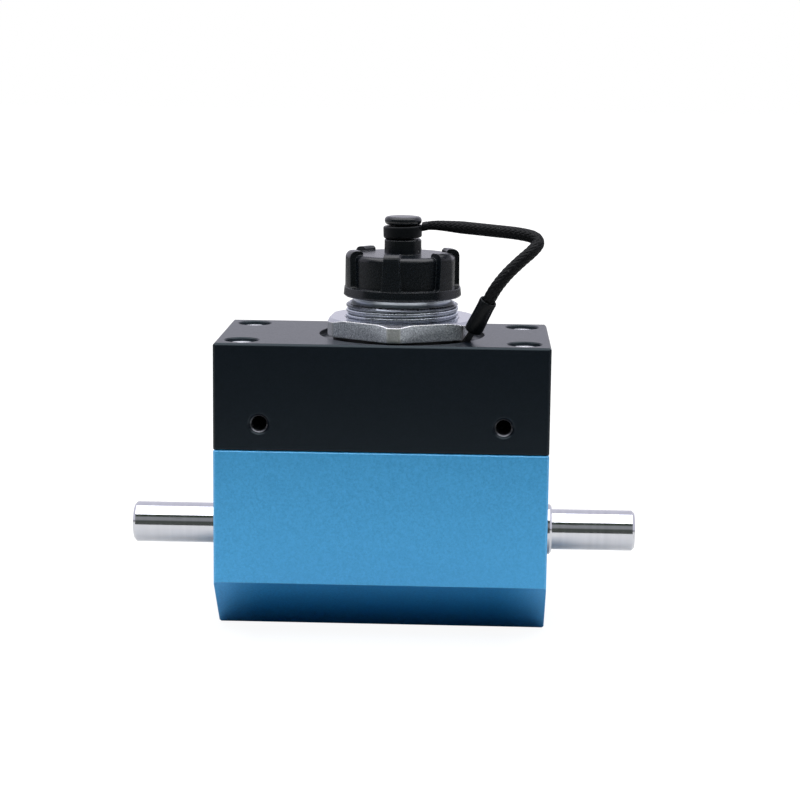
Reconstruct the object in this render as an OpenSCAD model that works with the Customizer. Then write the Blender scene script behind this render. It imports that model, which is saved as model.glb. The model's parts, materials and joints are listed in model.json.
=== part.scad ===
// Rotary torque sensor. A through shaft turns on two ball bearings in a metal block. The black
// cover on top holds the electronics and a round connector under a screwed, tethered dust cap.
// X runs along the shaft, the front is -Y, Z is up, and the origin is the middle of the base.

/* [Housing] */
// Length of the housing along the shaft
body_length = 64; // [60:0.5:90]
// Depth of the housing from front to back
body_depth = 34; // [34:0.5:46]
// Height of the lower block
base_height = 36.5; // [34:0.5:44]
// Height of the electronics cover
cover_height = 20.5; // [20:0.5:30]
// Depth of the slopes along the foot, measured in Y
foot_slope_depth = 10; // [5:0.25:10.5]
// Height of the slopes along the foot
foot_slope_height = 10.5; // [5:0.25:12]
// Bevel on the edges of the lower block
base_edge = 0.35; // [0.1:0.05:0.6]
// Bevel on the edges of the cover
cover_edge = 0.4; // [0.2:0.05:0.7]
// Bevel of the cover's lower edges
cover_foot_edge = 0.15; // [0.1:0.05:0.4]
// Bore of the chamber round the middle of the shaft
chamber_d = 22; // [22:0.25:23]
// Thickness of the web between a bearing seat and the chamber
bearing_web = 4; // [2.5:0.25:6]
// Bore through that web
web_bore_d = 19; // [18:0.25:20]
// Length of the hollow in the cover
cover_hollow_length = 40; // [38:0.5:41]
// Thickness of the cover's roof
cover_roof = 6; // [4:0.25:7]
// Width of the seal cord between block and cover
gasket_width = 1.4; // [1:0.1:1.6]
// Depth of the seal cord's groove
gasket_depth = 1.1; // [0.8:0.1:1.5]
// Distance of the seal cord's groove from the cover's hollow
gasket_inset = 0.6; // [0.4:0.1:0.7]

/* [Fixing holes] */
// Drilled diameter of the tapped fixing holes
fixing_drill_d = 3.3; // [2.5:0.1:3.5]
// Diameter of the fixing holes at their countersunk mouths
fixing_mouth_d = 4.2; // [3.6:0.1:4.6]
// Distance of the front fixing holes from the ends of the housing
front_fixing_inset = 8.75; // [8:0.25:10]
// Height of the front fixing holes above the joint of block and cover
front_fixing_rise = 5.1; // [4:0.1:8]
// Depth of the front fixing holes
front_fixing_depth = 7; // [4:0.25:8]
// Distance of the fixing holes in the foot from the ends of the housing
foot_fixing_inset_x = 10; // [8:0.25:16]
// Distance of the fixing holes in the foot from the foot's long edges
foot_fixing_inset_y = 3; // [2.6:0.1:3.6]
// Depth of the fixing holes in the foot
foot_fixing_depth = 5.5; // [4:0.25:6]

/* [Cover screws] */
// Thread diameter of the cover screws
cover_screw_d = 3; // [2.5:0.1:3]
// Length of a cover screw under its head
cover_screw_length = 25; // [20:0.5:27]
// Head diameter of the cover screws
cover_screw_head_d = 5.5; // [4.5:0.1:5.8]
// Head height of the cover screws
cover_screw_head_h = 3; // [2.5:0.1:3.2]
// Key size of the socket in a cover screw
cover_screw_key = 2.5; // [2:0.1:2.8]
// Diameter of the recess round a screw head
cover_screw_recess_d = 6.5; // [6.2:0.1:7]
// Depth of the screw heads below the top
cover_screw_sink = 0.65; // [0.5:0.05:2]
// Distance of the screws from the ends of the housing
cover_screw_inset_x = 5; // [4.5:0.1:5.4]
// Distance of the screws from the front and the back
cover_screw_inset_y = 5; // [4.5:0.1:5.4]

/* [Shaft] */
// Diameter of the shaft ends
shaft_d = 8; // [6:0.25:9]
// Height of the shaft's axis above the foot
shaft_height = 18.25; // [17.5:0.25:20]
// Length of shaft that stands out of each end of the housing
shaft_reach = 17.7; // [12:0.1:30]
// Length of the thicker shoulder that stands out of the housing
shoulder_reach = 1.3; // [0.6:0.1:3]
// Bevel at the shaft's tips
shaft_tip_edge = 0.5; // [0.2:0.1:1]
// Bevel at the edge of the shoulder
shoulder_edge = 0.4; // [0.1:0.1:0.8]
// Diameter of the centre drilled in each tip
centre_d = 2.5; // [1.5:0.1:3]
// Diameter of the torsion section in the middle
torsion_d = 7; // [6.8:0.1:8]
// Depth of the flats on the torsion section
torsion_flat = 0.5; // [0.3:0.05:0.7]
// Length of the torsion section
torsion_length = 16; // [12:0.5:18]
// Length of the cone at each end of the torsion section
torsion_cone = 2; // [1:0.1:2]
// Height of the collar that stops each rotor coil
stop_collar_step = 0.75; // [0.5:0.05:1.5]
// Width of that collar
stop_collar_width = 1.2; // [0.8:0.1:1.2]

/* [Bearings] */
// Bore of the bearings
bearing_bore = 10; // [10:0.1:10.4]
// Outer diameter of the bearings
bearing_od = 22; // [21.6:0.1:22.4]
// Width of the bearings
bearing_width = 6; // [5.6:0.1:6.4]
// Radial thickness of a bearing ring at its shoulder
bearing_ring_wall = 1.7; // [1.6:0.05:1.9]
// Diameter of the bearing balls
ball_d = 3.175; // [2.9:0.025:3.4]
// Number of balls in a bearing
ball_count = 9; // [7:1:10]
// Thickness of a bearing shield
shield_thickness = 0.3; // [0.2:0.05:0.5]
// Thickness of the retaining rings
retaining_thickness = 1; // [0.8:0.1:1.2]
// Radial width of the retaining rings
retaining_width = 1.7; // [1.2:0.1:2]
// Depth of a retaining ring's groove
retaining_groove = 0.5; // [0.3:0.05:0.7]
// Distance of a retaining ring from the end of the housing
retaining_setback = 1; // [0.8:0.1:2]

/* [Coils and boards] */
// Outer diameter of the rotor coils
rotor_coil_d = 16.4; // [15:0.1:16.6]
// Width of the coils along the shaft
coil_width = 5; // [4:0.1:5]
// Air gap between a rotor coil and its stator coil
coil_air_gap = 0.4; // [0.3:0.05:0.5]
// Distance of the ring board's edge from the edge of the rotor coil
rotor_board_inset = 0.2; // [0:0.05:1]
// Thickness of the rotor's ring board
rotor_board_thickness = 1.2; // [0.8:0.1:1.6]
// Wall of the spacer sleeves on the shaft
spacer_wall = 1.3; // [1:0.1:1.6]
// Length of a strain gauge
gauge_length = 6; // [4:0.25:8]
// Width of a strain gauge
gauge_width = 3; // [2:0.1:3.2]
// Thickness of a strain gauge
gauge_thickness = 0.15; // [0.1:0.05:0.3]
// Thickness of the main board
board_thickness = 1.6; // [1:0.1:2]
// Length of the standoffs that hold the main board
standoff_length = 7; // [6:0.25:9]
// Size across the flats of a standoff
standoff_across = 4.5; // [4:0.1:5]
// Thread diameter of the board screws
board_screw_d = 2.5; // [2:0.1:2.6]

/* [Connector] */
// Distance of the connector from the middle of the housing
connector_x = 3.2; // [2:0.1:4]
// Outer diameter of the connector's panel thread
panel_thread_d = 21.9; // [21.5:0.1:22.2]
// Wall between the socket and the coupling thread's outside, under the cap
shell_wall = 1.6; // [1.4:0.05:1.8]
// Height of the smooth neck's edge over the coupling thread
neck_step = 0.55; // [0.4:0.05:0.7]
// Height of the panel thread above the top of the cover
panel_thread_rise = 6.65; // [5.6:0.05:7]
// Diameter of the socket in the connector
socket_d = 14.6; // [14:0.1:14.8]
// Depth of the socket, from the mouth down to the insert
socket_depth = 8.6; // [7:0.1:9.5]
// Width of the flange under the roof, past the panel thread
flange_lip = 1.25; // [1:0.05:1.4]
// Thickness of the flange under the roof
connector_flange_h = 2; // [1.5:0.1:2.5]
// Diameter of a contact pin
pin_d = 1; // [0.8:0.05:1.2]
// Diameter of the circle of contact pins
pin_circle_d = 8; // [6.5:0.1:9]
// Number of contact pins on the circle
pin_count = 6; // [4:1:7]
// Depth of the recess round the nut
nut_recess_depth = 1; // [0.8:0.1:1.2]
// Size of the nut across its flats
nut_across = 27.6; // [27:0.1:28]
// Diameter to which the nut's corners are turned down
nut_corner_d = 30.6; // [30:0.1:31]
// Height of the nut
nut_height = 3.3; // [2.5:0.1:4]
// Diameter at which the nut's upper bevel starts
nut_bevel_d = 28.6; // [28:0.1:29.4]
// Angle of the nut's upper bevel
nut_bevel_angle = 26; // [20:1:40]
// Turn of the nut about the connector's axis
nut_turn = -4; // [-30:1:30]
// Thickness of the rubber washer under the eyelet
washer_thickness = 0.8; // [0.6:0.1:1]
// Distance of the washer's and the eyelet's edge from the nut's flats
washer_inset = 0.3; // [0.2:0.05:1]

/* [Dust cap] */
// Height of the cap's lower edge above the top of the cover
cap_rise = 7.55; // [7.4:0.05:9]
// Width of the cap's lower rim
cap_rim_width = 1.3; // [1.1:0.05:1.6]
// Height of the cap's lower rim
cap_rim_h = 1.8; // [1.2:0.1:2.5]
// Wall of the cap between its ribs
cap_wall = 1.15; // [1:0.05:1.4]
// Height of the cap without its post
cap_height = 8.2; // [8:0.1:9]
// Rounding of the cap's shoulder
cap_shoulder = 1; // [0.6:0.1:1.4]
// Thickness of the cap's top
cap_top_wall = 1.8; // [1.6:0.1:2]
// Height of the ribs over the cap's wall
cap_rib_height = 1.1; // [0.8:0.05:1.2]
// Number of ribs
cap_rib_count = 6; // [4:1:8]
// Width of a rib at its top
cap_rib_width = 2.85; // [2:0.05:3.4]
// Width of a rib at its foot
cap_rib_foot = 3.6; // [2.4:0.1:3.8]
// Rounding where a rib meets the rim
cap_rib_fillet = 0.6; // [0.4:0.1:1]
// Height of the ribs above the cap's top
cap_rib_rise = 0.8; // [0.5:0.1:1.2]
// Length of the ribs over the cap's top
cap_rib_reach = 2.6; // [1.5:0.1:3.5]
// Rounding of the ribs' outer edge
cap_rib_round = 1.3; // [0.8:0.1:1.6]
// Turn of the ribs about the cap's axis
cap_rib_turn = -9.7; // [-30:0.1:30]
// Diameter of the post on the cap
post_d = 7.2; // [6.6:0.1:7.6]
// Height of the post
post_h = 2.95; // [2:0.05:3.2]
// Diameter of the neck that the tether's ring sits on
post_neck_d = 4.6; // [4:0.1:4.8]
// Diameter of the button on the post
button_d = 7.2; // [6.6:0.1:7.6]
// Height of the button
button_h = 1.6; // [1.4:0.1:2]
// Rounding of the button
button_round = 0.7; // [0.4:0.05:0.75]
// Thickness of the rubber seal in the cap
cap_seal_thickness = 0.7; // [0.5:0.05:0.75]

/* [Tether] */
// Outer diameter of the ring at the tether's end
tether_ring_d = 7.5; // [7:0.1:7.8]
// Height of that ring
tether_ring_h = 2.35; // [2:0.05:2.5]
// Tilt of that ring, raised by the cord
tether_ring_tilt = 2; // [0:0.5:3]
// Diameter of the cord
cord_d = 2.5; // [2:0.1:2.6]
// Diameter of the ring's stub, where the cord is thinnest
stub_d = 1.75; // [1.5:0.05:1.9]
// Diameter of the sleeve at the cord's lower end
sleeve_d = 3.7; // [3.2:0.1:3.8]
// Length of the sleeve
sleeve_length = 7; // [5:0.25:7]
// Lean of the sleeve from upright, away from the connector
sleeve_lean = 30; // [24:1:32]
// Height of the sleeve's foot above the top of the cover
sleeve_foot_rise = 2.2; // [2:0.1:3]
// Direction of the tether's tab from the connector's axis
tether_direction = -36; // [-40:1:-33]
// Thickness of the eyelet's sheet metal
eyelet_thickness = 0.4; // [0.3:0.05:0.5]
// Width of the eyelet's tab
tab_width = 2.2; // [1.8:0.1:2.4]

/* [Clearances] */
// Gap round a piece that is pressed or screwed into its seat
seat_gap = 0.03; // [0.02:0.01:0.06]
// Gap round a screw in its plain hole
screw_gap = 0.15; // [0.1:0.05:0.25]
// Gap between the balls and what they roll in
ball_gap = 0.06; // [0.03:0.01:0.1]
// Gap between the tether's ring and the post's neck
ring_gap = 0.3; // [0.2:0.05:0.35]
// Gap between the cap's bore and the coupling thread
cap_gap = 0.15; // [0.1:0.05:0.2]
// Gap between the connector's neck and the cap above it
neck_gap = 0.3; // [0.2:0.05:0.4]
// Room that the tether's ring has along the post's neck
ring_play = 0.36; // [0.34:0.02:1]
// Gap between the nut's corners and the sleeve
sleeve_gap = 0.35; // [0.3:0.05:1]
// Gap between the nut's corners and the edge of its recess
nut_recess_gap = 0.9; // [0.7:0.05:1.2]
// Gap between the connector's flange and the walls of the cover's hollow
flange_gap = 0.4; // [0.3:0.05:0.6]
// Gap between the main board and the walls of the cover's hollow
board_gap = 1.1; // [0.8:0.05:1.3]

/* [Hidden] */

$fn = 64;
// A cut runs past the face that it opens by this much
over = 1;
// Pieces of one solid run into each other by this much
sink = 0.1;
// Height of a drill point for each millimetre of its diameter
drill_point = 0.3;

// Heights of the housing
cover_top = base_height + cover_height;
roof_z = cover_top - cover_roof;

// The cover's hollow is as deep as the connector's flange needs
connector_flange_d = panel_thread_d + 2 * flange_lip;
cover_hollow_depth = connector_flange_d + 2 * flange_gap;

// The fixing holes
front_fixing_pitch = body_length - 2 * front_fixing_inset;
foot_fixing_pitch_x = body_length - 2 * foot_fixing_inset_x;
foot_fixing_pitch_y = body_depth - 2 * foot_slope_depth - 2 * foot_fixing_inset_y;

// Places along the shaft, on the right side
half_length = body_length / 2;
shaft_tip_x = half_length + shaft_reach;
shoulder_x = half_length + shoulder_reach;
retaining_x = half_length - retaining_setback - retaining_thickness;
bearing_outer_x = retaining_x;
bearing_inner_x = bearing_outer_x - bearing_width;
bearing_mid_x = bearing_outer_x - bearing_width / 2;
chamber_half = bearing_inner_x - bearing_web;
shaft_seat_d = bearing_bore - 2 * seat_gap;
torsion_across = torsion_d - 2 * torsion_flat;
stop_collar_d = bearing_bore + 2 * stop_collar_step;
torsion_end_x = torsion_length / 2 + torsion_cone;
collar_offset = 0.8;
stop_collar_x = torsion_end_x + collar_offset;
coil_x = stop_collar_x + stop_collar_width;
coil_mid_x = coil_x + coil_width / 2;
coil_end_x = coil_x + coil_width;
rotor_board_d = rotor_coil_d - 2 * rotor_board_inset;
stator_bore_d = rotor_coil_d + 2 * coil_air_gap;
stator_d = chamber_d - 2 * seat_gap;

// The bearings, by radius
pitch_r = (bearing_bore + bearing_od) / 4;
race_r = ball_d / 2 + ball_gap;
inner_shoulder_r = bearing_bore / 2 + bearing_ring_wall;
outer_shoulder_r = bearing_od / 2 - bearing_ring_wall;
cage_wall = 1;
cage_spare = 1.2;
cage_width = ball_d + cage_spare;
shield_setback = 0.3;
shield_seat = 0.5;
shield_gap = 0.25;
shield_edge_r = outer_shoulder_r + shield_seat;
groove_gap = 0.05;

// The cover screws
cover_screw_x = half_length - cover_screw_inset_x;
cover_screw_y = body_depth / 2 - cover_screw_inset_y;
cover_screw_seat_z = cover_top - cover_screw_sink - cover_screw_head_h;
cover_screw_tip_z = cover_screw_seat_z - cover_screw_length;
screw_recess_edge = 0.25;
screw_hole_spare = 1;

// The electronics in the cover
board_length = cover_hollow_length - 2 * board_gap;
board_depth = cover_hollow_depth - 2 * board_gap;
board_top_z = roof_z - standoff_length;
board_bottom_z = board_top_z - board_thickness;
standoff_inset = 2.25;
standoff_x = board_length / 2 - standoff_inset;
standoff_y = board_depth / 2 - standoff_inset;
standoff_end_wall = 1.5;
board_screw_head_h = 1.4;
board_screw_head_d = 1.8 * board_screw_d;
board_screw_grip = 3.5;
chip_x = -10;
chip_length = 9;
chip_depth = 7;
chip_h = 1.6;
converter_x = -8;
converter_length = 7;
converter_depth = 9;
converter_h = 3;
terminal_h = 2;
terminal_w = 6;
terminal_sink = 0.5;
terminal_z = shaft_height + stator_d / 2 + terminal_h - terminal_sink;
lead_d = 0.8;
lead_y = 1.6;

// Heights of the connector, its nut and its eyelet
recess_z = cover_top - nut_recess_depth;
eyelet_z = recess_z + washer_thickness;
nut_z = eyelet_z + eyelet_thickness;
panel_thread_z = cover_top + panel_thread_rise;
panel_thread_lead = 0.65;
cap_z = cover_top + cap_rise;
cap_top_z = cap_z + cap_height;
cap_ceiling_z = cap_top_z - cap_top_wall;
mouth_z = cap_ceiling_z - cap_seal_thickness;
insert_top_z = mouth_z - socket_depth;
pin_reach = 4;
pin_top_z = insert_top_z + pin_reach;
pin_tail = 0.8;
pin_bottom_z = board_bottom_z - pin_tail;
shell_step_rise = 0.5;
shell_step_z = roof_z + shell_step_rise;
shell_rear_d = 12;
flange_z = roof_z - connector_flange_h;
coupling_lead = 0.6;
coupling_thread_d = socket_d + 2 * shell_wall;
neck_d = coupling_thread_d + 2 * neck_step;
neck_end_z = cap_z - neck_gap;
neck_slope = 0.25;
neck_foot = 0.2;
nut_recess_d = nut_corner_d + 2 * nut_recess_gap;
washer_d = nut_across - 2 * washer_inset;
nut_bore_d = panel_thread_d + 2 * seat_gap;
washer_bore_d = panel_thread_d + 2 * screw_gap;

// The cap, from its bore outwards
cap_bore_d = coupling_thread_d + 2 * cap_gap;
cap_wall_d = cap_bore_d + 2 * cap_wall;
cap_rib_d = cap_wall_d + 2 * cap_rib_height;
cap_rim_d = cap_wall_d + 2 * cap_rim_width;

// The cap's post, from its foot to its button
post_neck_h = tether_ring_h + ring_play;
post_top_z = cap_top_z + post_h;
button_z = post_top_z + post_neck_h;
button_top_z = button_z + button_h;
ring_mid_z = post_top_z + post_neck_h / 2;
ring_bore_d = post_neck_d + 2 * ring_gap;
// The cord pushes the ring aside on the post's neck
ring_push = 0.1;
ring_centre = [connector_x - ring_push, 0, ring_mid_z];

// The tether's lower end, in the upright plane through the connector's axis and the tab
tab_overlap = 1;
tab_bend_gap = 0.3;
tab_bend_r = nut_corner_d / 2 + tab_bend_gap;
sleeve_foot_z = cover_top + sleeve_foot_rise;
sleeve_foot_r = nut_corner_d / 2 + sleeve_gap + sleeve_d / 2 * cos(sleeve_lean);
sleeve_out = [cos(tether_direction), sin(tether_direction)];
sleeve_axis = [
    sin(sleeve_lean) * sleeve_out[0],
    sin(sleeve_lean) * sleeve_out[1],
    cos(sleeve_lean)
];
sleeve_foot = [
    connector_x + sleeve_foot_r * sleeve_out[0],
    sleeve_foot_r * sleeve_out[1],
    sleeve_foot_z
];
sleeve_head = sleeve_foot + sleeve_length * sleeve_axis;
tab_depth_in_sleeve = 3;

// The cord's way from the ring's stub to the sleeve: its upper points hang on the stub, its lower
// points on the sleeve
stub_length = 1.2;
stub_depth = 0.5;
stub_rise = 0.85;
stub_lift = 12;
button_room = 0.12;
stub_way = [cos(stub_lift), 0, sin(stub_lift)];
stub_root = ring_centre + [tether_ring_d / 2 - stub_depth, 0, stub_rise];
stub_end = stub_root + (stub_depth + stub_length) * stub_way;
cord_past_stub = [
    [1.9, -0.4, 0.1],
    [4.9, -1.4, 0],
    [8.9, -3, -0.2],
    [12.9, -4.9, -0.4],
    [16.9, -7, -0.6],
    [19.65, -8.6, -0.95],
    [20.75, -9.4, -1.4],
    [21.15, -10.05, -2.05],
    [20.8, -10.75, -2.75]
];
cord_over_sleeve = [
    [7.8, 0.6, 9.2],
    [5.7, -0.2, 7.4],
    [3.35, -0.8, 5.1],
    [1.4, -0.9, 2.6]
];
cord_points = concat(
    [stub_end],
    [for (p = cord_past_stub) stub_end + p],
    [for (p = cord_over_sleeve) sleeve_head + p],
    [sleeve_head]
);
cord_steps = 2;
cord_sides = 8;
// The cord thickens over its first rings, past the stub
cord_taper = 5;

// Shared shapes

// Points of an arc, from angle a to angle b
function arc(c, r, a, b, n = 5) = [
    for (i = [0:n])
        let (angle = a + (b - a) * i / n)
        c + r * [cos(angle), sin(angle)]
];

// A rectangle about the origin with bevelled corners, the lower two with a bevel of their own
module bevelled_rectangle(w, h, edge, low_edge) {
    polygon([
        [-w / 2 + low_edge, -h / 2], [w / 2 - low_edge, -h / 2],
        [w / 2, -h / 2 + low_edge], [w / 2, h / 2 - edge],
        [w / 2 - edge, h / 2], [-w / 2 + edge, h / 2],
        [-w / 2, h / 2 - edge], [-w / 2, -h / 2 + low_edge]
    ]);
}

// A solid that is drawn as a section of Y and Z and runs along X
module along_x(length) {
    rotate([90, 0, 90]) translate([0, 0, -length / 2]) linear_extrude(length) children();
}

// A solid that is drawn as a section of X and Z and runs along Y
module along_y(length) {
    rotate([90, 0, 0]) translate([0, 0, -length / 2]) linear_extrude(length) children();
}

// A turned solid about the shaft's axis, drawn as radius against place along X
module turned_on_shaft() {
    translate([0, 0, shaft_height]) rotate([90, 0, 90]) rotate_extrude() children();
}

// A plain ring about the shaft's axis between two places along X
module shaft_ring(x0, x1, inner_d, outer_d) {
    turned_on_shaft() translate([inner_d / 2, x0]) square([(outer_d - inner_d) / 2, x1 - x0]);
}

// A rod along X on the shaft's axis
module shaft_bore(x0, x1, d) {
    translate([x0, 0, shaft_height]) rotate([0, 90, 0]) cylinder(d = d, h = x1 - x0);
}

// The left side of the housing mirrors the right side
module on_side(side) {
    if (side < 0) mirror([1, 0, 0]) children();
    else children();
}

// Puts its children at the four screws of the cover
module at_cover_screws() {
    for (sx = [-1, 1], sy = [-1, 1]) translate([sx * cover_screw_x, sy * cover_screw_y, 0]) children();
}

// Puts its children at the four standoffs
module at_standoffs() {
    for (sx = [-1, 1], sy = [-1, 1]) translate([sx * standoff_x, sy * standoff_y, 0]) children();
}

// Puts its children on the connector's axis
module on_connector() {
    translate([connector_x, 0, 0]) children();
}

// A tapped hole that runs up from its mouth at the origin, with a countersunk mouth and a drill point
module tapped_hole(depth) {
    mouth_h = (fixing_mouth_d - fixing_drill_d) / 2;
    translate([0, 0, -over]) cylinder(d = fixing_drill_d, h = depth + over);
    translate([0, 0, depth]) cylinder(d1 = fixing_drill_d, d2 = 0, h = fixing_drill_d * drill_point);
    cylinder(d1 = fixing_mouth_d, d2 = fixing_drill_d, h = mouth_h);
}

// A ring, square in section, that follows the joint between block and cover
module joint_ring(width, z, h) {
    inner_l = cover_hollow_length + 2 * gasket_inset + gasket_width - width;
    inner_d = cover_hollow_depth + 2 * gasket_inset + gasket_width - width;
    translate([0, 0, z]) linear_extrude(h) difference() {
        square([inner_l + 2 * width, inner_d + 2 * width], center = true);
        square([inner_l, inner_d], center = true);
    }
}

// Housing

module base_block() {
    half = body_depth / 2;
    foot = half - foot_slope_depth;
    intersection() {
        along_x(body_length) polygon([
            [-foot, 0], [foot, 0], [half, foot_slope_height], [half, base_height - base_edge],
            [half - base_edge, base_height], [-half + base_edge, base_height],
            [-half, base_height - base_edge], [-half, foot_slope_height]
        ]);
        translate([0, 0, base_height / 2]) along_y(body_depth)
            bevelled_rectangle(body_length, base_height, base_edge, base_edge);
        linear_extrude(base_height) bevelled_rectangle(body_length, body_depth, base_edge, base_edge);
    }
}

module base_housing() {
    seat_d = bearing_od + 2 * seat_gap;
    color([0.25, 0.56, 0.76]) difference() {
        base_block();
        shaft_bore(-half_length, half_length, web_bore_d);
        shaft_bore(-chamber_half, chamber_half, chamber_d);
        translate([-chamber_half, -chamber_d / 2, shaft_height])
            cube([2 * chamber_half, chamber_d, base_height]);
        for (side = [-1, 1]) on_side(side) {
            shaft_bore(bearing_inner_x, half_length + over, seat_d);
            shaft_bore(
                retaining_x - seat_gap,
                retaining_x + retaining_thickness + seat_gap,
                seat_d + 2 * retaining_groove
            );
        }
        joint_ring(gasket_width, base_height - gasket_depth, gasket_depth + over);
        at_cover_screws() translate([0, 0, cover_screw_tip_z - screw_hole_spare])
            cylinder(d = cover_screw_d + 2 * seat_gap, h = base_height);
        for (sx = [-1, 1], sy = [-1, 1])
            translate([sx * foot_fixing_pitch_x / 2, sy * foot_fixing_pitch_y / 2, 0])
                tapped_hole(foot_fixing_depth);
    }
}

module electronics_cover() {
    color([0.09, 0.1, 0.12]) difference() {
        intersection() {
            translate([0, 0, base_height]) linear_extrude(cover_height)
                bevelled_rectangle(body_length, body_depth, cover_edge, cover_edge);
            translate([0, 0, base_height + cover_height / 2]) along_x(body_length)
                bevelled_rectangle(body_depth, cover_height, cover_edge, cover_foot_edge);
            translate([0, 0, base_height + cover_height / 2]) along_y(body_depth)
                bevelled_rectangle(body_length, cover_height, cover_edge, cover_foot_edge);
        }
        translate([-cover_hollow_length / 2, -cover_hollow_depth / 2, base_height - over])
            cube([cover_hollow_length, cover_hollow_depth, roof_z - base_height + over]);
        on_connector() {
            translate([0, 0, roof_z - over])
                cylinder(d = panel_thread_d + 2 * screw_gap, h = cover_height);
            translate([0, 0, recess_z]) cylinder(d = nut_recess_d, h = nut_recess_depth + over, $fn = 96);
        }
        at_cover_screws() {
            translate([0, 0, base_height - over])
                cylinder(d = cover_screw_d + 2 * screw_gap, h = cover_height);
            translate([0, 0, cover_screw_seat_z]) cylinder(d = cover_screw_recess_d, h = cover_height);
            translate([0, 0, cover_top - screw_recess_edge]) cylinder(
                d1 = cover_screw_recess_d,
                d2 = cover_screw_recess_d + 2 * (screw_recess_edge + over),
                h = screw_recess_edge + over
            );
        }
        for (sx = [-1, 1])
            translate([sx * front_fixing_pitch / 2, -body_depth / 2, base_height + front_fixing_rise])
                rotate([-90, 0, 0]) tapped_hole(front_fixing_depth);
    }
}

module cover_gasket() {
    color([0.12, 0.12, 0.13])
        joint_ring(gasket_width - 2 * seat_gap, base_height - gasket_depth, gasket_depth);
}

module cover_screws() {
    socket_depth_in_head = cover_screw_head_h / 2;
    head_edge = 0.3;
    color([0.72, 0.72, 0.74]) at_cover_screws() translate([0, 0, cover_screw_seat_z]) difference() {
        union() {
            translate([0, 0, -cover_screw_length]) cylinder(d = cover_screw_d, h = cover_screw_length);
            cylinder(d = cover_screw_head_d, h = cover_screw_head_h - head_edge);
            translate([0, 0, cover_screw_head_h - head_edge]) cylinder(
                d1 = cover_screw_head_d,
                d2 = cover_screw_head_d - 2 * head_edge,
                h = head_edge
            );
        }
        translate([0, 0, cover_screw_head_h - socket_depth_in_head])
            cylinder(d = cover_screw_key / cos(30), h = cover_screw_head_h, $fn = 6);
    }
}

// Shaft and what turns with it

module torque_shaft() {
    tip_r = shaft_d / 2;
    seat_r = shaft_seat_d / 2;
    // A centre drill has a point of 60 degrees
    centre_depth = centre_d / 2 / tan(30);
    // One half of the turned outline, from the middle to a tip
    half = [
        [torsion_d / 2, torsion_length / 2],
        [seat_r, torsion_end_x],
        [seat_r, stop_collar_x],
        [stop_collar_d / 2, stop_collar_x],
        [stop_collar_d / 2, coil_x],
        [seat_r, coil_x],
        [seat_r, shoulder_x - shoulder_edge],
        [seat_r - shoulder_edge, shoulder_x],
        [tip_r, shoulder_x],
        [tip_r, shaft_tip_x - shaft_tip_edge],
        [tip_r - shaft_tip_edge, shaft_tip_x],
        [centre_d / 2, shaft_tip_x],
        [0, shaft_tip_x - centre_depth]
    ];
    lower = [for (i = [len(half) - 1:-1:0]) [half[i][0], -half[i][1]]];
    flat_cut = torsion_d;
    color([0.78, 0.78, 0.8]) difference() {
        turned_on_shaft() polygon(concat(lower, half));
        for (a = [0:90:270]) translate([0, 0, shaft_height]) rotate([a, 0, 0])
            translate([-torsion_length / 2, -flat_cut / 2, torsion_across / 2])
                cube([torsion_length, flat_cut, flat_cut]);
    }
}

module strain_gauges() {
    color([0.75, 0.5, 0.2]) for (a = [0:90:270]) translate([0, 0, shaft_height]) rotate([a, 0, 0])
        translate([-gauge_length / 2, -gauge_width / 2, torsion_across / 2])
            cube([gauge_length, gauge_width, gauge_thickness]);
}

module spacer(x0) {
    color([0.7, 0.7, 0.72]) shaft_ring(x0, bearing_inner_x, bearing_bore, bearing_bore + 2 * spacer_wall);
}

module left_spacer() {
    on_side(-1) spacer(coil_end_x + rotor_board_thickness);
}

module right_spacer() {
    spacer(coil_end_x);
}

module rotor_coil() {
    color([0.7, 0.38, 0.2]) shaft_ring(coil_x, coil_end_x, bearing_bore, rotor_coil_d);
}

module power_rotor_coil() {
    on_side(-1) rotor_coil();
}

module signal_rotor_coil() {
    rotor_coil();
}

module rotor_board() {
    color([0.1, 0.4, 0.2])
        on_side(-1) shaft_ring(coil_end_x, coil_end_x + rotor_board_thickness, bearing_bore, rotor_board_d);
}

// Bearings, drawn on the right side

module outer_ring() {
    color([0.75, 0.75, 0.77]) turned_on_shaft() difference() {
        translate([outer_shoulder_r, bearing_inner_x])
            square([bearing_od / 2 - outer_shoulder_r, bearing_width]);
        translate([pitch_r, bearing_mid_x]) circle(r = race_r);
        for (x = [bearing_inner_x, bearing_outer_x - shield_setback - shield_thickness])
            translate([0, x - (x == bearing_inner_x ? over : 0)])
                square([shield_edge_r, shield_setback + shield_thickness + over]);
    }
}

module inner_ring() {
    color([0.75, 0.75, 0.77]) turned_on_shaft() difference() {
        translate([bearing_bore / 2, bearing_inner_x])
            square([inner_shoulder_r - bearing_bore / 2, bearing_width]);
        translate([pitch_r, bearing_mid_x]) circle(r = race_r);
    }
}

module at_balls() {
    for (i = [0:ball_count - 1])
        translate([bearing_mid_x, 0, shaft_height]) rotate([360 * i / ball_count, 0, 0])
            translate([0, 0, pitch_r]) children();
}

module balls() {
    color([0.85, 0.85, 0.87]) at_balls() sphere(d = ball_d);
}

module cage() {
    color([0.72, 0.6, 0.3]) difference() {
        shaft_ring(
            bearing_mid_x - cage_width / 2,
            bearing_mid_x + cage_width / 2,
            2 * pitch_r - cage_wall,
            2 * pitch_r + cage_wall
        );
        at_balls() sphere(r = race_r);
    }
}

module shields() {
    inner_d = 2 * (inner_shoulder_r + shield_gap);
    color([0.6, 0.6, 0.62]) for (x = [
        bearing_inner_x + shield_setback,
        bearing_outer_x - shield_setback - shield_thickness
    ])
        shaft_ring(x, x + shield_thickness, inner_d, 2 * (shield_edge_r - seat_gap));
}

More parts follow.
